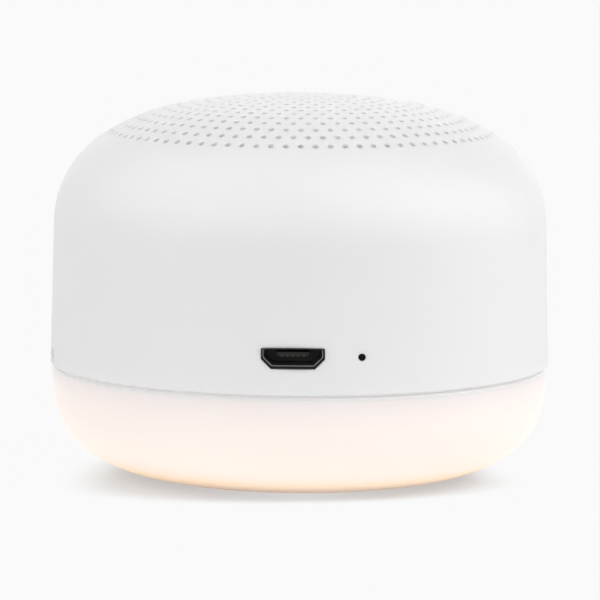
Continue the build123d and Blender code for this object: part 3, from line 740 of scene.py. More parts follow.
# Finishes that differ only in their values: how each is made, its colour, its roughness and the rest.
FINISHES = {
    "foot_rubber": (moulded, (0.42, 0.42, 0.41), 0.78, dict(
        scale=4200.0, depth=6e-6, dust=0.0, wear=0.3, uneven=0.05)),
    "screw_steel": (metal, (0.56, 0.56, 0.57), 0.34, dict(stretch=(2500.0, 2500.0, 2500.0))),
    "chassis_white": (moulded, (0.80, 0.80, 0.79), 0.5, dict(scale=4500.0, depth=3e-6)),
    "light_board_white": (moulded, (0.86, 0.86, 0.84), 0.3, dict(scale=8000.0, depth=8e-7)),
    "tape_grey": (woven, (0.55, 0.55, 0.55), 0.85, dict(thread=0.00006)),
    "package_white": (moulded, (0.85, 0.84, 0.80), 0.42, dict(scale=9000.0, depth=1e-6)),
    "phosphor_amber": (moulded, (0.90, 0.62, 0.22), 0.2, dict(
        scale=12000.0, depth=1e-6, **{"Emission Color": (1.0, 0.62, 0.28, 1), "Emission Strength": 2.5})),
    "foam_black": (moulded, (0.045, 0.045, 0.047), 0.92, dict(scale=2600.0, depth=2.5e-5, dust=0.0)),
    "chip_black": (moulded, (0.035, 0.035, 0.037), 0.55, dict(scale=8000.0, depth=3e-6, dust=0.05)),
    "capacitor_can": (metal, (0.74, 0.74, 0.75), 0.24, dict(stretch=(400.0, 400.0, 12000.0))),
    "ceramic_tan": (moulded, (0.42, 0.31, 0.20), 0.4, dict(scale=9000.0, depth=2e-6)),
    "ferrite_black": (moulded, (0.06, 0.06, 0.065), 0.62, dict(scale=3600.0, depth=1.2e-5, wear=0.5)),
    "port_steel": (metal, (0.24, 0.24, 0.235), 0.40, dict(stretch=(5000.0, 300.0, 5000.0))),
    "port_black": (moulded, (0.010, 0.010, 0.0105), 0.55, dict(scale=9000.0, depth=2e-6, dust=0.0)),
    # Gold darkened with painted shade, so that the contacts deep in the port show as dark as the shade there;
    # the board pads and speaker terminals share it.
    "contact_gold": (metal, (0.34, 0.25, 0.12), 0.52, dict(stretch=(6000.0, 600.0, 6000.0))),
    "guide_smoke": (moulded, (0.004, 0.004, 0.0045), 0.5, dict(
        scale=9000.0, depth=5e-7, dust=0.0, wear=0.1, **{"Specular IOR Level": 0.1})),
    "switch_black": (moulded, (0.045, 0.045, 0.047), 0.5, dict(scale=6500.0, depth=3e-6)),
    "chamber_grey": (moulded, (0.26, 0.26, 0.27), 0.52, dict(scale=4600.0, depth=4e-6)),
    "basket_steel": (moulded, (0.06, 0.06, 0.065), 0.36, dict(scale=5200.0, depth=3e-6, wear=0.6)),
    "yoke_steel": (metal, (0.58, 0.58, 0.59), 0.36, dict(stretch=(500.0, 500.0, 6000.0))),
    "cone_paper": (woven, (0.10, 0.10, 0.105), 0.88, dict(thread=0.00009, depth=2e-5, gap=0.8)),
    "surround_rubber": (moulded, (0.045, 0.045, 0.048), 0.62, dict(scale=6000.0, depth=3e-6)),
    "spider_cloth": (woven, (0.66, 0.46, 0.17), 0.75, dict(thread=0.00008)),
    "connector_cream": (moulded, (0.80, 0.77, 0.68), 0.42, dict(scale=7000.0, depth=2e-6)),
    "screen_pale": (woven, (0.74, 0.74, 0.74), 0.85, dict(thread=0.00007)),
}


def stock(name):
    """Finish from that list by its name."""
    make, tint, roughness, values = FINISHES[name]
    return make(name, tint, roughness, **values)


def housing_white(tint):
    """Fine spark-eroded texture on white plastic that light enters a little way."""
    return moulded("housing_white", tint, 0.46, scale=5600.0, depth=2.2e-6, dust=0.05, wear=0.05,
                   uneven=0.006, **{"Subsurface Weight": 1.0, "Subsurface Radius": (1.0, 1.0, 1.0),
                                    "Subsurface Scale": 0.0007})


def button_white(tint):
    """Smoother, slightly greyer plastic than the housing's."""
    return moulded("button_white", tint, 0.38, scale=7500.0, depth=1.2e-6, dust=0.04, wear=0.12, uneven=0.008)


def button_mark(tint):
    """Matt paint in the recess of a mark."""
    return moulded("button_mark", tint, 0.5, scale=6000.0, depth=1.5e-6, dust=0.05, wear=0.2)


def diffuser_milk(sizes):
    """Milky plastic with a painted glow for the light from inside: bright on the side, amber under the belly,
    and darker at the rim with painted shade.
    """
    finish = Finish("diffuser_milk", sizes.tint)
    if not finish.fresh:
        return finish.material
    tree = finish.tree
    grain = finish.use(grain_group(), Scale=3800.0, Patches=45.0)
    base = tree.mix(grain["Patch"], darker(sizes.tint, 0.99), darker(sizes.tint, 1.01))
    height = tree.add("ShaderNodeSeparateXYZ", {"Vector": finish.place}).outputs["Z"]
    # Painted shade: the base colour darkens over the last part below the rim, for the shade under it.
    rim = tree.spread(height, sizes.rim_height - sizes.rim_line, sizes.rim_height - sizes.rim_line / 3)
    base = tree.mix(rim, base, darker(sizes.tint, 0.90))
    # Painted glow by height from the table above, with its painted shade under the rim.
    level = tree.spread(height, diffuser_low.z, diffuser_high.z)
    ramp = tree.add("ShaderNodeValToRGB", {"Fac": level})
    points = ramp.color_ramp.elements
    points.remove(points[0])
    for number, (spot, light) in enumerate(PAINTED_GLOW):
        place = (spot / MILLIMETRES - diffuser_low.z) / (diffuser_high.z - diffuser_low.z)
        point = points[0] if number == 0 else points.new(place)
        point.position = place
        point.color = (*light, 1)
    cloudy = tree.spread(grain["Patch"], 0.0, 1.0, 0.985, 1.015)
    thrown = tree.spread(seen_ray(tree), 0.0, 1.0, sizes.thrown, 1.0)
    strength = tree.math("MULTIPLY", cloudy, thrown)
    shine = tree.add("ShaderNodeVectorMath", {0: ramp.outputs["Color"], "Scale": strength}, operation="SCALE")
    tree.link(shine.outputs[0], finish.shader.inputs["Emission Color"])
    finish.shader.inputs["Emission Strength"].default_value = sizes.glow
    rough = tree.spread(grain["Patch"], 0.0, 1.0, 0.31, 0.37)
    return finish.ends(base, rough, grain["Height"], 1.2e-6)


def battery_foil():
    """Soft aluminium pouch with shallow creases."""
    finish = Finish("battery_foil", (0.70, 0.71, 0.72), metallic=1.0)
    if not finish.fresh:
        return finish.material
    tree = finish.tree
    creases = tree.add("ShaderNodeTexVoronoi", {"Vector": finish.place, "Scale": 420.0},
                       feature="SMOOTH_F1").outputs["Distance"]
    grain = finish.use(grain_group(), Scale=3000.0, Patches=150.0)
    base = tree.mix(grain["Patch"], (0.62, 0.63, 0.65), (0.74, 0.75, 0.76))
    rough = tree.spread(creases, 0.0, 1.0, 0.26, 0.42)
    height = tree.math("MULTIPLY_ADD", grain["Height"], 0.1, creases)
    return finish.ends(base, rough, height, 6e-5)


def board_green():
    """Solder mask over copper tracks that show as slightly raised, lighter lines."""
    finish = Finish("board_green", (0.03, 0.17, 0.09))
    if not finish.fresh:
        return finish.material
    tree = finish.tree
    cells = tree.add("ShaderNodeTexBrick", {"Vector": finish.place, "Scale": 130.0, "Mortar Size": 0.045,
                                            "Mortar Smooth": 0.2, "Brick Width": 0.9, "Row Height": 0.22,
                                            "Color1": (1, 1, 1, 1), "Color2": (1, 1, 1, 1),
                                            "Mortar": (0, 0, 0, 1)}, offset=0.37)
    track = tree.math("SUBTRACT", 1.0, cells.outputs["Fac"])
    holes = tree.add("ShaderNodeTexVoronoi", {"Vector": finish.place, "Scale": 230.0}).outputs["Distance"]
    via = tree.spread(holes, 0.10, 0.13, 1.0, 0.0)
    grain = finish.use(grain_group(), Scale=7000.0, Patches=100.0)
    base = tree.mix(track, (0.045, 0.235, 0.12), (0.022, 0.13, 0.07))
    base = tree.mix(via, base, (0.62, 0.52, 0.28))
    base = tree.mix(grain["Patch"], base, tree.mix(0.25, base, (0.02, 0.10, 0.06)))
    rough = tree.spread(track, 0.0, 1.0, 0.24, 0.32)
    height = tree.math("MULTIPLY_ADD", grain["Height"], 0.15, track)
    return finish.ends(base, rough, height, 1.2e-5)


def coil_copper():
    """Turns of enamelled wire, one above the other."""
    finish = Finish("coil_copper", (0.72, 0.36, 0.18), metallic=1.0)
    if not finish.fresh:
        return finish.material
    tree = finish.tree
    turns = tree.add("ShaderNodeTexWave", {"Vector": finish.place, "Scale": 1600.0, "Distortion": 0.0},
                     bands_direction="Z").outputs["Fac"]
    base = tree.mix(turns, (0.34, 0.14, 0.06), (0.78, 0.40, 0.20))
    rough = tree.spread(turns, 0.0, 1.0, 0.4, 0.22)
    return finish.ends(base, rough, turns, 4e-5)


def lead_red_black():
    """Insulation, red on one lead of a pair and black on the other."""
    finish = Finish("lead_red_black", (0.40, 0.03, 0.03))
    if not finish.fresh:
        return finish.material
    tree = finish.tree
    side = tree.add("ShaderNodeSeparateXYZ", {"Vector": finish.place}).outputs["Y"]
    grain = finish.use(grain_group(), Scale=5000.0, Patches=300.0)
    red = tree.mix(grain["Patch"], (0.42, 0.018, 0.018), (0.52, 0.03, 0.028))
    base = tree.mix(tree.spread(side, -TINY, TINY), (0.02, 0.02, 0.022), red)
    rough = tree.spread(grain["Patch"], 0.0, 1.0, 0.4, 0.5)
    return finish.ends(base, rough, grain["Height"], 2e-6)


def dress(material, *names):
    """Gives CAD nodes their material."""
    for name in names:
        for slot in nodes[name].material_slots:
            slot.material = material


def belongs(piece, body, slot, *replaced):
    """Fixes a new piece to its body and hides the nodes that it stands for; slot, the finish's name, is not
    used.
    """
    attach(piece, body)
    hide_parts(*replaced)
    return piece


# ---------------------------------------------------------------- pieces
def port_corners(sizes):
    """Outline of the port, seen from outside, with its two lower corners cut off."""
    half = sizes.port_width / 2
    high = sizes.port_height + sizes.port_tall / 2
    low = sizes.port_height - sizes.port_tall / 2
    cut = sizes.port_chamfer
    middle = -sizes.port_offset
    corners = [(-half, high), (-half, low + cut), (cut - half, low), (half - cut, low)]
    corners += [(half, low + cut), (half, high)]
    return [(middle + side, up, sizes.port_round) for side, up in corners]


def rectangle(side, up, width, tall, rounding):
    """Corners of a rectangle about a middle."""
    half, rise = width / 2, tall / 2
    corners = [(-half, -rise), (half, -rise), (half, rise), (-half, rise)]
    return [(side + x, up + y, rounding) for x, y in corners]


def spot_outline(side, up, radius, count=32):
    """Outline of a round opening."""
    return [(Vector((side, up)) + out * radius, out) for _, out in circle(count)]


def wall_openings():
    """Azimuth and outline of each opening in the wall."""
    scene = bpy.context.scene
    sizes = scene.noise_openings
    caps = scene.noise_buttons
    half_turn = math.pi / 2
    made = [(half_turn, rounded(port_corners(sizes), closed=True))]
    made.append((half_turn, spot_outline(sizes.indicator_offset, sizes.indicator_height,
                                         sizes.indicator_radius, 24)))
    for azimuth in BUTTONS.values():
        made.append((math.radians(azimuth), spot_outline(0, caps.height, caps.radius + caps.clearance, 48)))
    shift = (sizes.lanyard_bar + sizes.lanyard_width) / 2
    for side in (-shift, shift):
        corners = rectangle(side, sizes.lanyard_height, sizes.lanyard_width, sizes.lanyard_tall,
                            sizes.lanyard_round)
        made.append((sizes.lanyard_azimuth, rounded(corners, closed=True)))
    return made


def grille_spots(sizes):
    """Middle of each grille hole, on rings with six more holes each time."""
    spots = [(0.0, 0.0)]
    for ring in range(1, sizes.hole_rings + 1):
        for step in range(6 * ring):
            turn = math.radians(60 * step / ring)
            reach = ring * sizes.hole_pitch
            spots.append((reach * math.cos(turn), reach * math.sin(turn)))
    return spots


def housing_inside(skin, sizes, notch):
    """Inner section of the housing, from the ledge down to the seam; notch keeps the wall full."""
    arcs = skin.arcs
    ledge = sizes.ledge_height
    last = math.acos((ledge - arcs.centres[0].y) / (arcs.radii[0] - sizes.wall))
    shoulder = arcs.rows(0, sizes.wall, 8, last)[::-1]
    chain = rounded([(sizes.ledge_radius, ledge + ALONG), (sizes.ledge_radius, ledge, SMALL),
                     (shoulder[0][0].x, ledge)])
    chain += [(spot, -normal) for spot, normal in shoulder]
    rabbet = sizes.rabbet_top
    rows = 14
    for step in range(1, rows + 1):
        height = sizes.wall_top + (rabbet + 6 * SMALL - sizes.wall_top) * step / rows
        chain.append((Vector((skin.wall_radius(height, sizes.wall), height)), -skin.wall_normal))
    inner = skin.wall_radius(rabbet, sizes.wall)
    step_radius = inner + SMALL if notch else sizes.rabbet_radius
    corners = [(inner, rabbet + ALONG), (inner, rabbet, SMALL / 2),
               (step_radius, rabbet - SMALL, 0.4 * SMALL), (step_radius, skin.base, SMALL),
               (skin.base_radius, skin.base)]
    return chain + rounded(corners)


def upper_housing(context):
    """Domed housing with its grille, port, indicator, button and lanyard openings."""
    sizes = context.scene.noise_housing
    skin = Skin(sizes)
    arcs = skin.arcs
    shell = Shell()
    outer_loops, inner_loops = [], []
    for azimuth, outline in wall_openings():
        loops = shell.sweep(outline, hole_chain(sizes.edge, sizes.wall), skin.on_wall(azimuth))
        outer_loops.append(loops[0])
        inner_loops.append(loops[-1])
    outside = rounded([(skin.base_radius - ALONG, skin.base), (skin.base_radius, skin.base, sizes.seam_edge),
                       (skin.wall_radius(skin.base + ALONG), skin.base + ALONG)])
    wall_rows = 16
    first = skin.base + 1.1 * sizes.seam_edge
    for step in range(1, wall_rows):
        height = first + (sizes.wall_top - first) * step / wall_rows
        outside.append((Vector((skin.wall_radius(height), height)), skin.wall_normal))
    outside += arcs.rows(0, 0, 16)
    base_ring, top_ring = skin_grid(shell, [outside] * COLUMNS, outer_loops)

    openings = context.scene.noise_openings
    sections = [housing_inside(skin, sizes, away <= openings.lanyard_wall)
                for away in aways(openings.lanyard_azimuth)]
    ledge_ring, seam_ring = skin_grid(shell, sections, inner_loops)
    shell.bridge(seam_ring, base_ring)

    def behind(x, y, along):
        height, normal = arcs.above(math.hypot(x, y), -along)
        way = Vector((x, y, 0)).normalized()
        away = way * normal.x + Vector((0, 0, normal.y))
        return Vector((x, y, height)), (Vector((1, 0, 0)), Vector((0, 1, 0)), away)

    roof = [(Vector((sizes.ledge_radius, -sizes.grille_wall)), Vector((-0.7, -0.7)))]
    roof_ring = shell.sweep(circle(COLUMNS), roof, behind)[0]
    shell.bridge(roof_ring, ledge_ring)
    fronts, backs = [], []
    bevelled = hole_chain(sizes.hole_edge, sizes.grille_wall)[::ROUND_STEPS]
    for x, y in grille_spots(sizes):
        outline = spot_outline(x, y, sizes.hole_radius, 14)
        loops = shell.sweep(outline, bevelled, behind)
        fronts.append(loops[0])
        backs.append(loops[-1])
    shell.chart(top_ring, fronts)
    shell.chart(roof_ring, backs)
    housing_bosses(shell, sizes)
    piece = shell.built("housing", [housing_white(sizes.tint)])
    return belongs(piece, MAIN, "housing_white", "upper_housing")


def housing_bosses(shell, sizes):
    """Screw bosses on the inside of the wall, each with a web that joins it to the wall."""
    edge, web_edge = 2 * SMALL, SMALL / 2
    for azimuths, place, radius, low, high, pilot_depth, reach in BOSSES:
        bottom = low + pilot_depth
        pilot = rounded([(0, bottom), (sizes.pilot, bottom, edge), (sizes.pilot, low, edge),
                         (radius, low, edge), (radius, high, edge), (0, high)])
        web = rounded([(-ALONG, low), (0, low, web_edge), (0, high, web_edge), (-ALONG, high)])
        corners = rectangle((place + reach) / 2, 0, reach - place, sizes.web, SMALL)
        outline = rounded(corners, closed=True)
        for azimuth in azimuths:
            turn = math.radians(azimuth)
            middle = (place * math.cos(turn), place * math.sin(turn))
            for loops in (shell.sweep(circle(28), pilot, upright(*middle)),
                          shell.sweep(outline, web, upright(turn=turn))):
                shell.chart(loops[0])
                shell.chart(loops[-1])


def light_diffuser(context):
    """Milky bowl with its tongue, the groove for the foot and the four screw seats."""
    sizes = context.scene.noise_diffuser
    skin = bowl(sizes)
    shell = Shell()
    flat_low = diffuser_low.z
    rim = sizes.rim_height
    edge = sizes.edge

    def turned(rows):
        return [(Vector((spot.x, rim - spot.y)), Vector((normal.x, -normal.y))) for spot, normal in rows]

    outside = []
    inner = []
    for number, count in ((2, 8), (1, 12), (0, 8)):
        outside += turned(skin.rows(number, 0, count))[::-1][:-1]
        inner += turned(skin.rows(number, sizes.wall, count))[::-1][:-1]
    foot = rim - 0.0022     # where the wall turns into the tongue
    inner = [(spot, -normal) for spot, normal in inner if spot.y < foot]
    outside = [item for item in outside if item[0].y < rim - 2 * edge]
    groove = foot_high.x + SMALL
    recess = rounded([(groove - ALONG, foot_high.z), (groove, foot_high.z, SMALL), (groove, flat_low, SMALL),
                      (outside[0][0].x, flat_low)])
    lean = 0.15             # slope of the side just below the rim
    sections = []
    openings = context.scene.noise_openings
    for away in aways(openings.lanyard_azimuth):
        gap = away < openings.lanyard_gap
        top = rim + 0.4 * SMALL if gap else diffuser_high.z
        soft = 0.1 * SMALL if gap else 1.5 * SMALL
        tongue = rounded([(diffuser_high.x - lean * ALONG, rim - ALONG), (diffuser_high.x, rim, edge),
                          (sizes.tongue_outer, rim, soft), (sizes.tongue_outer, top, soft),
                          (sizes.tongue_inner, top, soft), (sizes.tongue_inner, rim - ALONG)])
        sections.append(recess + outside + tongue + inner[::-1])
    first, last = skin_grid(shell, sections, [])
    centre_edge = foot_inner_radius() - SMALL
    island = rounded([(0, flat_low), (centre_edge, flat_low, SMALL), (centre_edge, foot_high.z, SMALL),
                      (centre_edge + ALONG, foot_high.z)])
    island_loops = shell.sweep(circle(96), island, upright())
    shell.chart(island_loops[0])
    seats, floors = [], []
    floor = flat_low + sizes.wall
    seat, hole, boss = sizes.seat_radius, sizes.screw_hole, sizes.boss_radius
    chain = rounded([(seat + ALONG, foot_high.z), (seat, foot_high.z, SMALL),
                     (seat, sizes.seat_height, SMALL), (hole, sizes.seat_height, SMALL),
                     (hole, sizes.boss_top, 2 * SMALL), (boss, sizes.boss_top, 2 * SMALL),
                     (boss, floor, 2 * SMALL), (boss + ALONG, floor)])
    for x, y in SCREW_PLACES:
        loops = shell.sweep(circle(32), chain, upright(x, y))
        seats.append(loops[0])
        floors.append(loops[-1])
    shell.chart(first, [island_loops[-1], *seats])
    shell.chart(last, floors)
    piece = shell.built("diffuser", [diffuser_milk(sizes)])
    return belongs(piece, MAIN, "diffuser_milk", "light_diffuser")


def foot_inner_radius():
    """Inner radius of the rubber foot."""
    return min(vertex.co.xy.length for vertex in nodes["foot_ring"].data.vertices)


def bowl(sizes):
    """Section of the bowl, from its rim down to the flat bottom, as arcs with their height turned over."""
    tilts = (sizes.flank_tilt, sizes.corner_tilt, 0.0)
    radii = (sizes.flank_radius, sizes.corner_radius, sizes.belly_radius)
    depth = sizes.rim_height - diffuser_low.z
    lower = sum(radius * (math.cos(last) - math.cos(first))
                for radius, first, last in zip(radii[1:], tilts, tilts[1:]))
    start = math.acos(math.cos(tilts[0]) - (depth - lower) / radii[0])
    return Arcs((diffuser_high.x, 0.0), (start, *tilts), radii)


def sound_mark(up):
    """Ring with a gap and a bar."""
    outer, inner, tip = 0.00115, 0.0008, 0.00006
    gap, inner_gap = 23.0, 32.0
    steps = 28
    ring = swung((0, up), outer, 90 + gap, 450 - gap, steps)
    ring += swung((0, up), inner, 450 - inner_gap, 90 + inner_gap, steps)
    ends = {0, steps, steps + 1, len(ring) - 1}
    ring = [(x, y, tip if number in ends else 0) for number, (x, y, _) in enumerate(ring)]
    return [ring, rectangle(0, up + 0.00075, 0.00036, 0.0012, 0.00008)]


def minus_mark(up):
    """Short bar."""
    return [rectangle(0, up, 0.0019, 0.00042, 0.00008)]


def plus_mark(up):
    """Cross of two short bars."""
    thin, long = 0.00021, 0.00095
    turned = [(thin, -long), (thin, -thin), (long, -thin)]
    corners = []
    for quarter in range(4):
        for x, y in turned:
            for _ in range(quarter):
                x, y = -y, x
            corners.append((x, up + y, 0.00006))
    return [corners]


def light_mark(up):
    """Crescent."""
    outer, inner, tip = 0.0011, 0.00095, 0.00004
    away = Vector((0.00055, 0.00035))
    reach = away.length
    towards = math.degrees(math.atan2(away.y, away.x))
    half = math.degrees(math.acos((outer ** 2 + reach ** 2 - inner ** 2) / (2 * outer * reach)))
    back = math.degrees(math.acos((inner ** 2 + reach ** 2 - outer ** 2) / (2 * inner * reach)))
    rim = swung((0, up), outer, towards + half, towards + 360 - half, 30)
    bite = swung((away.x, up + away.y), inner, towards + 180 + back, towards + 180 - back, 22)
    corners = rim[:-1] + [(*rim[-1][:2], tip)] + bite[1:-1]
    corners[0] = (*corners[0][:2], tip)
    return [corners]


MARKS = {"sound": sound_mark, "volume_down": minus_mark, "volume_up": plus_mark, "light": light_mark}


def push_button(context, name):
    """Cap that follows the wall, with its recessed mark, its flange behind the wall and its stem."""
    caps = context.scene.noise_buttons
    wall = context.scene.noise_housing.wall
    skin = Skin(context.scene.noise_housing)
    turn = math.radians(BUTTONS[name])
    place = skin.on_wall(turn)
    shell = Shell()
    front = -wall - SMALL
    back = front - caps.flange
    stem, wide = caps.stem_radius, caps.flange_radius
    stem_back = caps.stem_back - skin.wall_radius(caps.height)
    corners = [(0, stem_back), (stem, stem_back, SMALL), (stem, back, SMALL), (wide, back, SMALL),
               (wide, front, SMALL), (caps.radius, front, SMALL), (caps.radius, caps.proud, caps.crown),
               (0, caps.proud)]
    middle = [(Vector((0, caps.height)), out) for _, out in circle(56)]
    loops = shell.sweep(middle, rounded(corners, steps=6), place)

    def flat(point):
        turned = Matrix.Rotation(-turn, 3, "Z") @ point
        return turned.y, turned.z

    holes = []
    floors = []
    for mark in MARKS[name](caps.height):
        chain = rounded([(ALONG, 0), (0, 0, 0.3 * SMALL), (0, -caps.icon_depth, 0.3 * SMALL),
                         (-ALONG, -caps.icon_depth)], steps=2)
        chain = [(spot + Vector((0, caps.proud)), normal) for spot, normal in chain]
        marks = shell.sweep(rounded(mark, closed=True, steps=2), chain, place, mark=1)
        holes.append(marks[0])
        floors.append(marks[-1])
    shell.chart(loops[-1], holes, face_spots(shell, caps, place, holes, flat), flat)
    shell.chart(loops[0], (), (), flat)
    for loop in floors:
        shell.chart(loop, (), (), flat, mark=1)
    piece = shell.built(name + "_cap", [button_white(caps.tint), button_mark(caps.mark)])
    return belongs(piece, name + "_press_body", "button_white", name + "_button")


def face_spots(shell, caps, place, holes, flat):
    """Loose points on a cap's face, clear of its mark, so that the face follows the wall."""
    rims = [[Vector(flat(shell.points[i])) for i in loop] for loop in holes]
    clear = 0.00018
    rings = 5
    made = []
    for ring in range(1, rings):
        for step in range(6 * ring):
            turn = math.radians(60 * step / ring)
            reach = ring * (caps.radius - caps.crown) / rings
            spot = Vector((reach * math.cos(turn), caps.height + reach * math.sin(turn)))
            near = min((spot - other).length for rim in rims for other in rim)
            if near > clear and not any(inside(spot, rim) for rim in rims):
                point, axes = place(spot.x, spot.y, caps.proud)
                made.append(shell.add(point, axes[2]))
    return made


def charging_port(context):
    """Folded steel shell of the connector, rounded at its mouth, with a closed back."""
    sizes = context.scene.noise_openings
    middle = Vector(((shell_low.x + shell_high.x) / 2, (shell_low.z + shell_high.z) / 2))
    half = (shell_high.x - shell_low.x) / 2
    rise = (shell_high.z - shell_low.z) / 2
    cut = sizes.shell_chamfer
    corners = [(-half, rise), (-half, cut - rise), (cut - half, -rise)]
    corners += [(half - cut, -rise), (half, cut - rise), (half, rise)]
    outline = rounded([(x, y, sizes.shell_round) for x, y in corners], closed=True, steps=5)
    sheet = sizes.sheet
    front, back = shell_high.y, shell_low.y

    def place(side, up, along):
        axes = (Vector((-1, 0, 0)), Vector((0, 0, 1)), Vector((0, 1, 0)))
        return Vector((middle.x - side, along, middle.y + up)), axes

    bend, lip = 0.00015, 0.00008
    section = [(-ALONG, back), (0, back, bend), (0, front, lip), (-sheet, front, lip),
               (-sheet, back + sheet, SMALL), (-ALONG, back + sheet)]
    shell = Shell()
    loops = shell.sweep(outline, rounded(section), place)
    for loop in (loops[0], loops[-1]):
        shell.chart(loop, (), (), lambda point: (point.x, point.z))
    piece = shell.built("port_shell", [stock("port_steel")])
    return belongs(piece, MAIN, "port_steel", "usb_shell")


# ---------------------------------------------------------------- stage
def aimed(made, place, target):
    """Puts a lamp or the camera in the scene, turned towards a target."""
    made.location = place
    made.rotation_mode = "QUATERNION"
    made.rotation_quaternion = (target - place).to_track_quat("-Z", "Y")
    bpy.context.scene.collection.objects.link(made)
    return made


def floor_material(settings):
    """Pale sheet with a faint tooth, which shows evenly pale except in the object's deep shade."""
    lit = (settings.floor_lit,) * 3
    finish = Finish("floor_pale", lit, **{"Specular IOR Level": 0.0})
    tree = finish.tree
    grain = finish.use(grain_group(), Scale=900.0, Patches=2.0)
    base = tree.mix(grain["Patch"], darker(lit, 0.995), darker(lit, 1.005))
    rough = tree.spread(grain["Patch"], 0.0, 1.0, 0.88, 0.92)
    finish.ends(base, rough)
    shade = tree.add("ShaderNodeMapping", {
        "Vector": finish.place, "Location": (settings.shade_side, settings.shade_ahead, 0),
        "Rotation": (0, 0, settings.shade_turn), "Scale": (settings.shade_wide, settings.shade_front, 1),
    }, vector_type="TEXTURE").outputs[0]
    parts = tree.add("ShaderNodeSeparateXYZ", {"Vector": shade}).outputs
    behind = tree.math("MULTIPLY", parts["Y"], -settings.shade_front / settings.shade_back)
    ahead = tree.math("MAXIMUM", parts["Y"], behind)
    sideways = tree.math("ABSOLUTE", parts["X"])
    reach = tree.math("SQRT", tree.math("MULTIPLY_ADD", ahead, ahead, tree.math("POWER", sideways, 2.0)))
    deep = tree.math("MULTIPLY_ADD", sideways, -SHADE_SIDES, settings.shade)
    pale = tree.add("ShaderNodeMapRange", {"Value": reach, "From Min": SHADE_CORE, "From Max": SHADE_END,
                                           "To Min": deep, "To Max": SHADE_PALE},
                    interpolation_type="SMOOTHSTEP").outputs[0]
    plain = tree.add("ShaderNodeEmission", {"Color": (1, 1, 1, 1), "Strength": settings.floor})
    shown = tree.add("ShaderNodeMixShader", {0: tree.math("MULTIPLY", seen_ray(tree), pale),
                                             1: finish.shader.outputs[0], 2: plain.outputs[0]})
    tree.link(shown.outputs[0], finish.output.inputs["Surface"])
    return finish.material


def make_floor(settings):
    """Wide sheet that the object stands on."""
    mesh = bpy.data.meshes.new("floor")
    form = bmesh.new()
    bmesh.ops.create_grid(form, x_segments=8, y_segments=8, size=30.0)
    form.to_mesh(mesh)
    form.free()
    mesh.materials.append(floor_material(settings))
    floor = bpy.data.objects.new("floor", mesh)
    bpy.context.scene.collection.objects.link(floor)


def make_world(settings):
    """Backdrop as pale as the floor; all the light comes from the lamps."""
    world = bpy.data.worlds.new("studio")
    world.use_nodes = True
    world.node_tree.nodes.clear()
    tree = Tree(world.node_tree)
    level = tree.math("MULTIPLY", seen_ray(tree), settings.floor)
    shown = tree.add("ShaderNodeBackground", {"Color": (1, 1, 1, 1), "Strength": level})
    tree.add("ShaderNodeOutputWorld", {"Surface": shown.outputs[0]})
    bpy.context.scene.world = world


def make_lamps(settings):
    """Large soft lamps round the object."""
    for number, (azimuth, elevation, share_of_light) in enumerate(LAMPS):
        lamp = bpy.data.lights.new(f"soft_{number}", "SUN")
        lamp.energy = settings.light * share_of_light * math.pi
        lamp.angle = settings.softness
        turn, rise = math.radians(azimuth), math.radians(elevation)
        way = Vector((math.cos(turn) * math.cos(rise), math.sin(turn) * math.cos(rise), math.sin(rise)))
        aimed(bpy.data.objects.new(f"soft_{number}", lamp), way, Vector((0, 0, 0)))


def make_camera(settings):
    """Camera a little above the object, on the side of the charging port."""
    camera = bpy.data.cameras.new("camera")
    camera.lens = settings.lens
    camera.sensor_width = 36.0
    camera.clip_start = 0.01
    camera.clip_end = 100.0
    target = Vector((-settings.target_side, 0, settings.target_height))
    back = Vector((0, math.cos(settings.elevation), math.sin(settings.elevation)))
    made = aimed(bpy.data.objects.new("camera", camera), target + back * settings.distance, target)
    roll = Matrix.Rotation(settings.roll, 3, "Z").to_quaternion()
    made.rotation_quaternion = made.rotation_quaternion @ roll
    bpy.context.scene.camera = made


# ---------------------------------------------------------------- operators
class NOISE_OT_housing(Operator):
    """Build the domed housing and finish the dust screen behind its grille"""
    bl_idname = "noise_machine.housing"
    bl_label = "Housing"

    def execute(self, context):
        upper_housing(context)
        dress(stock("screen_pale"), "grille_screen")
        return {"FINISHED"}


class NOISE_OT_diffuser(Operator):
    """Build the glowing bowl and finish its foot and screws"""
    bl_idname = "noise_machine.diffuser"
    bl_label = "Night light bowl"

    def execute(self, context):
        light_diffuser(context)
        dress(stock("foot_rubber"), "foot_ring")
        dress(stock("screw_steel"), "diffuser_screws", "chassis_screws", "board_screws", "chamber_screws")
        return {"FINISHED"}


class NOISE_OT_buttons(Operator):
    """Build the four push buttons with their marks, and finish plungers and switches"""
    bl_idname = "noise_machine.buttons"
    bl_label = "Buttons"

    def execute(self, context):
        for name in BUTTONS:
            push_button(context, name)
        dress(stock("switch_black"), "switch_bodies", *[name + "_plunger" for name in BUTTONS])
        return {"FINISHED"}


class NOISE_OT_port(Operator):
    """Build the connector's steel shell and finish its tongue, contacts and the charge light"""
    bl_idname = "noise_machine.port"
    bl_label = "Charging port"

    def execute(self, context):
        charging_port(context)
        # The sleeve that lines the port's cut-out is black, so the cut-out shows dark.
        dress(stock("port_black"), "usb_tongue", "port_sleeve")
        # Painted shade: the darkened gold stands for the shade deep in the port.
        dress(stock("contact_gold"), "usb_contacts")
        dress(stock("package_white"), "charge_led")
        dress(stock("guide_smoke"), "charge_light_guide")
        return {"FINISHED"}


class NOISE_OT_light(Operator):
    """Finish the ring board of the night light"""
    bl_idname = "noise_machine.light"
    bl_label = "Night light board"

    def execute(self, context):
        dress(stock("light_board_white"), "light_board")
        dress(stock("tape_grey"), "light_board_adhesive")
        dress(stock("package_white"), "light_packages")
        dress(stock("phosphor_amber"), "light_phosphors")
        dress(stock("contact_gold"), "light_board_pads")
        return {"FINISHED"}


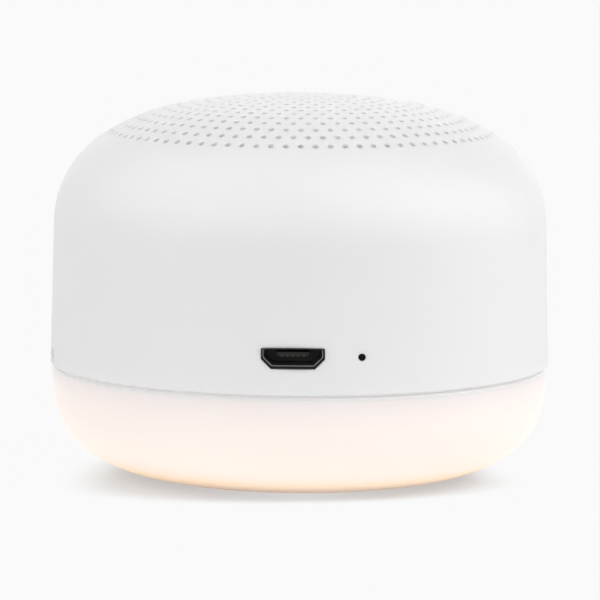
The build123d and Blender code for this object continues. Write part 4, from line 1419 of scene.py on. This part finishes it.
class NOISE_OT_inside(Operator):
    """Finish the chassis, the battery, the main board and what is soldered to it"""
    bl_idname = "noise_machine.inside"
    bl_label = "Chassis, battery and board"

    def execute(self, context):
        dress(stock("chassis_white"), "inner_chassis")
        dress(stock("foam_black"), "battery_pad")
        dress(battery_foil(), "battery_cell")
        dress(board_green(), "battery_board", "main_board")
        dress(stock("chip_black"), "sound_chip", "amplifier_chip", "memory_chip")
        dress(stock("capacitor_can"), "bulk_capacitors")
        dress(stock("ferrite_black"), "power_inductor")
        dress(stock("ceramic_tan"), "chip_capacitors")
        dress(lead_red_black(), "speaker_leads", "battery_leads", "light_leads")
        dress(stock("connector_cream"), "lead_plugs", "lead_sockets")
        return {"FINISHED"}


class NOISE_OT_speaker(Operator):
    """Finish the speaker and its sealed chamber"""
    bl_idname = "noise_machine.speaker"
    bl_label = "Speaker"

    def execute(self, context):
        dress(stock("chamber_grey"), "speaker_chamber")
        dress(stock("basket_steel"), "speaker_frame")
        dress(stock("yoke_steel"), "speaker_yoke", "speaker_top_plate")
        dress(stock("ferrite_black"), "speaker_magnet")
        dress(stock("capacitor_can"), "voice_coil_former")
        dress(coil_copper(), "voice_coil_winding")
        dress(stock("cone_paper"), "speaker_cone", "dust_cap")
        dress(stock("surround_rubber"), "speaker_surround")
        dress(stock("spider_cloth"), "speaker_spider")
        dress(stock("foam_black"), "speaker_gasket")
        dress(stock("contact_gold"), "speaker_terminals")
        return {"FINISHED"}


class NOISE_OT_stage(Operator):
    """Set up the pale floor, the soft light and the camera"""
    bl_idname = "noise_machine.stage"
    bl_label = "Stage"

    def execute(self, context):
        settings = context.scene.noise_stage
        make_floor(settings)
        make_world(settings)
        make_lamps(settings)
        make_camera(settings)
        context.scene.view_settings.view_transform = "Standard"
        return {"FINISHED"}


OPERATORS = (NOISE_OT_housing, NOISE_OT_diffuser, NOISE_OT_buttons, NOISE_OT_port, NOISE_OT_light,
             NOISE_OT_inside, NOISE_OT_speaker, NOISE_OT_stage)


class NOISE_PT_panel(Panel):
    """Lists the pieces and their settings"""
    bl_label = "White Noise Machine"
    bl_idname = "NOISE_PT_panel"
    bl_space_type = "VIEW_3D"
    bl_region_type = "UI"
    bl_category = "Noise Machine"

    def draw(self, context):
        for operator in OPERATORS:
            self.layout.operator(operator.bl_idname)
        for name, settings in GROUPS.items():
            box = self.layout.box()
            for label in settings.__annotations__:
                box.prop(getattr(context.scene, name), label)


CLASSES = (*GROUPS.values(), *OPERATORS, NOISE_PT_panel)


def register():
    for made in CLASSES:
        bpy.utils.register_class(made)
    for name, settings in GROUPS.items():
        setattr(bpy.types.Scene, name, PointerProperty(type=settings))


def unregister():
    for name in GROUPS:
        delattr(bpy.types.Scene, name)
    for made in reversed(CLASSES):
        bpy.utils.unregister_class(made)


def main():
    """Builds and finishes everything in order."""
    register()
    bpy.ops.noise_machine.housing()
    bpy.ops.noise_machine.diffuser()
    bpy.ops.noise_machine.buttons()
    bpy.ops.noise_machine.port()
    bpy.ops.noise_machine.light()
    bpy.ops.noise_machine.inside()
    bpy.ops.noise_machine.speaker()
    bpy.ops.noise_machine.stage()


if __name__ == "__main__":
    main()
